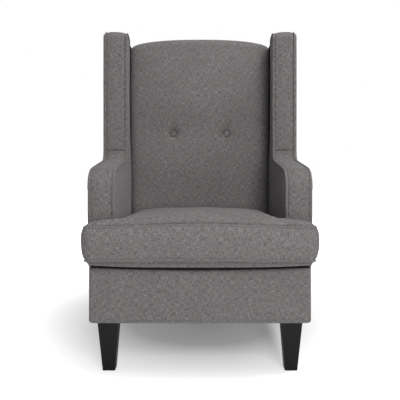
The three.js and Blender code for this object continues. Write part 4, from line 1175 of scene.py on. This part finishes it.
def wrap_cloth(mesh):
    """Lays the cloth on each face flat, as seen from the way that it faces most."""
    facing = np.abs(read(mesh.polygons, "normal", 3)) * (1.0, 1.0, 0.9)
    way = np.repeat(facing.argmax(1), read(mesh.polygons, "loop_total", kind=np.int32))[:, None]
    x, y, z = coordinates(mesh)[read(mesh.loops, "vertex_index", kind=np.int32)].T
    from_side = np.where(way == 1, columns(x, z), columns(y, z))
    lay_cloth(mesh, np.where(way == 2, columns(x, y), from_side))


def swollen(name, mesh, held, pressure, cap):
    """Blows a closed mesh up as cloth, held at its seams, and moves no point further than cap. The
    cloth is cut 1% too large, so that it puckers along the seams."""
    scene = bpy.context.scene
    start = coordinates(mesh)
    piece = placed(name, mesh)
    piece.vertex_groups.new(name="seams").add(held.tolist(), 1.0, "REPLACE")
    sheet = piece.modifiers.new("cloth", "CLOTH")
    how = sheet.settings
    how.quality, how.mass = 6, 0.3
    how.tension_stiffness = how.compression_stiffness = 20.0
    how.shear_stiffness, how.bending_stiffness = 10.0, 0.8
    how.shrink_min = -0.01
    how.use_pressure, how.uniform_pressure_force = True, pressure
    how.vertex_group_mass = "seams"
    how.effector_weights.gravity = 0.0
    sheet.point_cache.frame_start, sheet.point_cache.frame_end = 1, CLOTH_FRAMES
    for frame_number in range(1, CLOTH_FRAMES + 1):
        scene.frame_set(frame_number)
    blown = final_mesh(piece)
    moved = coordinates(blown) - start
    scene.frame_set(1)
    bpy.data.objects.remove(piece)
    bpy.data.meshes.remove(blown)
    far = np.linalg.norm(moved, axis=1, keepdims=True)
    return start + moved * np.minimum(1.0, cap / np.maximum(far, 1e-9))


def stuffed(points, outline, normals, run):
    """The points of the stuffed cushion from those of a flat-sided one, with how far each lies from
    the outline, how much it belongs to the boxing and how much room it has there.

    Over its height t the boxing swells as 1 - (2t - 1)^4, and less beside the arms. The top rises
    inside its seam as a dome with a brim and then as a pillow, with puckers and a slow unevenness.
    It is steeper beside the ears and flatter over them. The underside swells to the deck, and
    clears it at the front and more so under the ears."""
    s = sizes()
    away, nearby = nearest(points[:, :2], outline)
    outward, along = normals[nearby], run[nearby]
    level = np.clip((points[:, 2] - s.belly) / s.boxing, 0.0, 1.0)
    wall = 1.0 - smooth(away, 0.002, 0.016)
    room = 1.0 - 0.85 * smooth(points[:, 1], s.ear_back - 0.004, s.ear_back + 0.012)
    swell = s.bulge * room * blend(0.6, 1.0, np.abs(outward[:, 0])) * (1.0 - (2.0 * level - 1.0) ** 4) * wall
    swell += 0.0012 * ripple(along, points[:, 2], 0.20, 61) * wall * np.sin(math.pi * level)
    x, depth = (points[:, :2] + outward * swell[:, None]).T
    beside = np.abs(x)
    slope = 1.0 + 0.25 * smooth(beside, 0.235, 0.275) - 0.6 * smooth(beside, 0.27, 0.36)
    top = s.crown_edge * slope * dome(away, s.crown_reach) + s.crown * pillow(columns(x, depth), outline)
    top += 0.0022 * bell(away, 0.007)
    top += 0.0006 * np.sin(along / 0.0042 + 2.0 * np.sin(along / 0.05)) * bell(away - 0.018, 0.013)
    top += 0.0022 * ripple(x, depth, 0.24, 71) * dome(away, 0.10)
    clear = s.front_lift + s.ear_lift * np.clip(beside / s.ear_half_width, 0.0, 1.0) ** 4
    under = (s.belly - clear * (1.0 - smooth(depth, 0.0, 0.16))) * dome(away, 0.013)
    z = points[:, 2] + smooth(level, 0.86, 1.0) * top - (1.0 - smooth(level, 0.0, 0.14)) * under
    return columns(x, depth, z), away, wall, room


class ARMCHAIR_OT_cushion(bpy.types.Operator):
    """Sews the loose T-shaped cushion with its crown, boxing and belly, and pipes its two seams"""

    bl_idname = "armchair.cushion"
    bl_label = "Cushion"

    def execute(self, context):
        s = sizes()
        outline, normals, run = cushion_line()
        count = len(outline)
        low, high = s.belly, s.belly + s.boxing
        block = np.concatenate([columns(*outline.T, z) for z in (low, high)])
        k, after = np.arange(count), (np.arange(count) + 1) % count
        walls = columns(k, after, after + count, k + count).tolist()
        even = remeshed("even_cushion", block, [k[::-1].tolist(), (k + count).tolist(), *walls], s.weave_grid)
        flat = coordinates(even)
        flat_height = flat[:, 2]
        points, away, wall, room = stuffed(flat, outline, normals, run)
        put_coordinates(even, cushion_place(points))
        seam = np.hypot(away, np.minimum(np.abs(flat_height - low), np.abs(flat_height - high)))
        held = np.flatnonzero((seam < 0.0075) | (flat_height < low + 0.002))
        cap = s.swell_cap * blend(1.0, room, wall)
        put_coordinates(even, swollen("blown_cushion", even, held, s.pressure, cap[:, None]))

        foam = even.copy()
        put_coordinates(foam, coordinates(foam) - FOAM_INSET * read(foam.vertices, "normal", 3))
        finish(placed("seat_cushion_foam", foam), "foam", "seat_cushion", "cushion_core")

        mark(even, "from_outline", away)
        mark(even, "flat_height", flat_height)
        write(even.polygons, "use_smooth", np.ones(len(even.polygons)), bool)
        cover = placed("seat_cushion_cover", even)
        finer = cover.modifiers.new("rounded", "SUBSURF")
        finer.levels = finer.render_levels = 1
        rounded = final_mesh(cover)
        cover.modifiers.clear()
        cover.data = rounded
        wrap_cloth(rounded)
        away, height = (
            read(rounded.attributes[name].data, "value") for name in ("from_outline", "flat_height"))
        # Painted shade: dark lines just inside the lower seam and just under the upper piping
        below = bell(height - low, 0.003) * bell(away - 0.0035, 0.0026)
        above = bell(height - high + 0.0032, 0.0024) * bell(away, 0.004)
        mark(rounded, "crease", 0.6 * below + 0.8 * above)
        finish(cover, "upholstery", "seat_cushion", "cushion_cover")

        outward, up = columns(*normals.T, 0.0), np.array([[0.0, 0.0, 1.0]])
        for label, node, height, out in (
                ("lower", "cushion_bottom_welt", low, 0.0018), ("upper", "cushion_top_welt", high, -0.0002)):
            middle = columns(*(outline + normals * out).T, height)
            piece = tube(label + "_cushion_piping", middle, outward, up, s.piping_cushion, run, cushion_place)
            finish(piece, "upholstery", "seat_cushion", node)
        return {"FINISHED"}


# The studio

def seen_by_camera(tree):
    """1 for a ray from the camera, straight, mirrored or through glass, and 0 for any other."""
    path = tree.nodes.new("ShaderNodeLightPath").outputs
    seen = maths(tree, "MAXIMUM", path["Is Camera Ray"], path["Is Glossy Ray"])
    return maths(tree, "MAXIMUM", seen, path["Is Transmission Ray"])


def painted_floor_shadow():
    """White that the camera sees brighter the further a place lies from the chair: a painted glow,
    weakest round the chair's foot, where it paints part of the floor's shadow. The distance is
    that of an oval round the chair's foot, which is longer to the rear than to the front."""
    paint = bpy.data.materials.new("studio_floor_paint")
    paint.use_nodes = True
    tree = paint.node_tree
    shader = tree.nodes["Principled BSDF"]
    for label, value in (("Base Color", (0.86, 0.86, 0.86, 1)), ("Roughness", 0.8),
                         ("Specular IOR Level", 0.0), ("Emission Color", (1, 1, 1, 1))):
        shader.inputs[label].default_value = value
    middle_x, middle_y, half_width, rear_reach, front_reach = 0.019, 0.30, 0.297, 0.687, -0.295
    split = tree.nodes.new("ShaderNodeSeparateXYZ")
    feed(tree, split.inputs[0], tree.nodes.new("ShaderNodeTexCoord").outputs["Object"])
    across = maths(tree, "DIVIDE", maths(tree, "SUBTRACT", split.outputs[0], middle_x), half_width)
    behind = maths(tree, "SUBTRACT", split.outputs[1], middle_y)
    reaches = (maths(tree, "DIVIDE", behind, reach) for reach in (rear_reach, front_reach))
    along = maths(tree, "MAXIMUM", *reaches)
    away = maths(tree, "SQRT", maths(
        tree, "ADD", maths(tree, "POWER", across, 2.0), maths(tree, "POWER", along, 2.0)))
    # Painted shadow near the chair and painted glow further out; the floor's own lit shade adds to it
    near = ranged(tree, away, 0.0, 1.5, 0.099, 0.230)
    far = ranged(tree, away, 1.013, 2.397, 0.0, sizes().floor_glow)
    rest = ranged(tree, away, 2.3, 4.0)
    glow = maths(tree, "ADD", maths(tree, "ADD", near, far), rest)
    feed(tree, shader.inputs["Emission Strength"], maths(tree, "MULTIPLY", seen_by_camera(tree), glow))
    return paint


class ARMCHAIR_OT_studio(bpy.types.Operator):
    """Sets up the pale floor, the lamps and the camera in front of the chair"""

    bl_idname = "armchair.studio"
    bl_label = "Studio"

    def execute(self, context):
        scene = bpy.context.scene
        scene.view_settings.view_transform = "Standard"
        s = sizes()

        mesh = bpy.data.meshes.new("studio_floor")
        mesh.from_pydata([(-9, -9, 0), (9, -9, 0), (9, 9, 0), (-9, 9, 0)], [], [(0, 1, 2, 3)])
        mesh.materials.append(painted_floor_shadow())
        placed("studio_floor", mesh)

        world = bpy.data.worlds.new("studio_world")
        scene.world = world
        world.use_nodes = True
        tree = world.node_tree
        tree.nodes.clear()
        both = tree.nodes.new("ShaderNodeMixShader")
        feed(tree, both.inputs[0], seen_by_camera(tree))
        for socket, strength in ((both.inputs[1], s.room_light), (both.inputs[2], 1.0)):
            white = node_of(tree, "ShaderNodeBackground", Color=(1, 1, 1, 1), Strength=strength)
            feed(tree, socket, white.outputs[0])
        feed(tree, tree.nodes.new("ShaderNodeOutputWorld").inputs[0], both.outputs[0])

        aim = np.array([0.0, 0.0, 0.6])
        for name, right, height, size, watts in (
                ("front_lamp", 8, 5, 1.0, s.front_light), ("key_lamp", 16, 28, 1.0, s.key_light),
                ("side_lamp", 75, 62, 1.0, s.side_light), ("top_lamp", 20, 78, 2.0, s.top_light)):
            right, height = math.radians(right), math.radians(height)
            way = [math.sin(right) * math.cos(height), -math.cos(right) * math.cos(height), math.sin(height)]
            lamp = bpy.data.lights.new(name, "AREA")
            lamp.shape, lamp.size, lamp.energy = "DISK", size, watts
            carrier = placed(name, lamp)
            carrier.location = aim + 4.0 * np.array(way)
            carrier.rotation_euler = (math.pi / 2 - height, 0.0, right)

        lens = bpy.data.cameras.new("studio_camera")
        lens.lens, lens.sensor_width, lens.shift_y = s.lens, 36.0, s.lens_shift
        camera = placed("studio_camera", lens)
        camera.location = (0.0, FRONT_Y - s.camera_distance, s.camera_height)
        camera.rotation_euler = (math.pi / 2, 0.0, 0.0)
        scene.camera = camera
        return {"FINISHED"}


class ARMCHAIR_PT_panel(bpy.types.Panel):
    """Lists the chair's pieces in the order in which they are made"""

    bl_idname = "ARMCHAIR_PT_panel"
    bl_label = "Wingback armchair"
    bl_space_type = "VIEW_3D"
    bl_region_type = "UI"
    bl_category = "Armchair"

    def draw(self, context):
        column = self.layout.column()
        for operator in OPERATORS:
            column.operator(operator.bl_idname)
        for group in (context.scene.armchair_sizes, context.scene.armchair_colours):
            box = self.layout.box()
            for name in group.__annotations__:
                box.prop(group, name)


OPERATORS = (
    ARMCHAIR_OT_studio, ARMCHAIR_OT_frame_finish, ARMCHAIR_OT_outside_panels, ARMCHAIR_OT_inside_panels,
    ARMCHAIR_OT_borders, ARMCHAIR_OT_welts, ARMCHAIR_OT_inside_back, ARMCHAIR_OT_outside_back,
    ARMCHAIR_OT_base_front, ARMCHAIR_OT_deck, ARMCHAIR_OT_legs, ARMCHAIR_OT_cushion,
)
CLASSES = (ArmchairSizes, ArmchairColours, *OPERATORS, ARMCHAIR_PT_panel)


def register():
    for kind in CLASSES:
        bpy.utils.register_class(kind)
    bpy.types.Scene.armchair_sizes = PointerProperty(type=ArmchairSizes)
    bpy.types.Scene.armchair_colours = PointerProperty(type=ArmchairColours)


def unregister():
    del bpy.types.Scene.armchair_colours
    del bpy.types.Scene.armchair_sizes
    for kind in reversed(CLASSES):
        bpy.utils.unregister_class(kind)


def main():
    register()
    for operator in OPERATORS:
        area, name = operator.bl_idname.split(".")
        getattr(getattr(bpy.ops, area), name)()


if __name__ == "__main__":
    main()
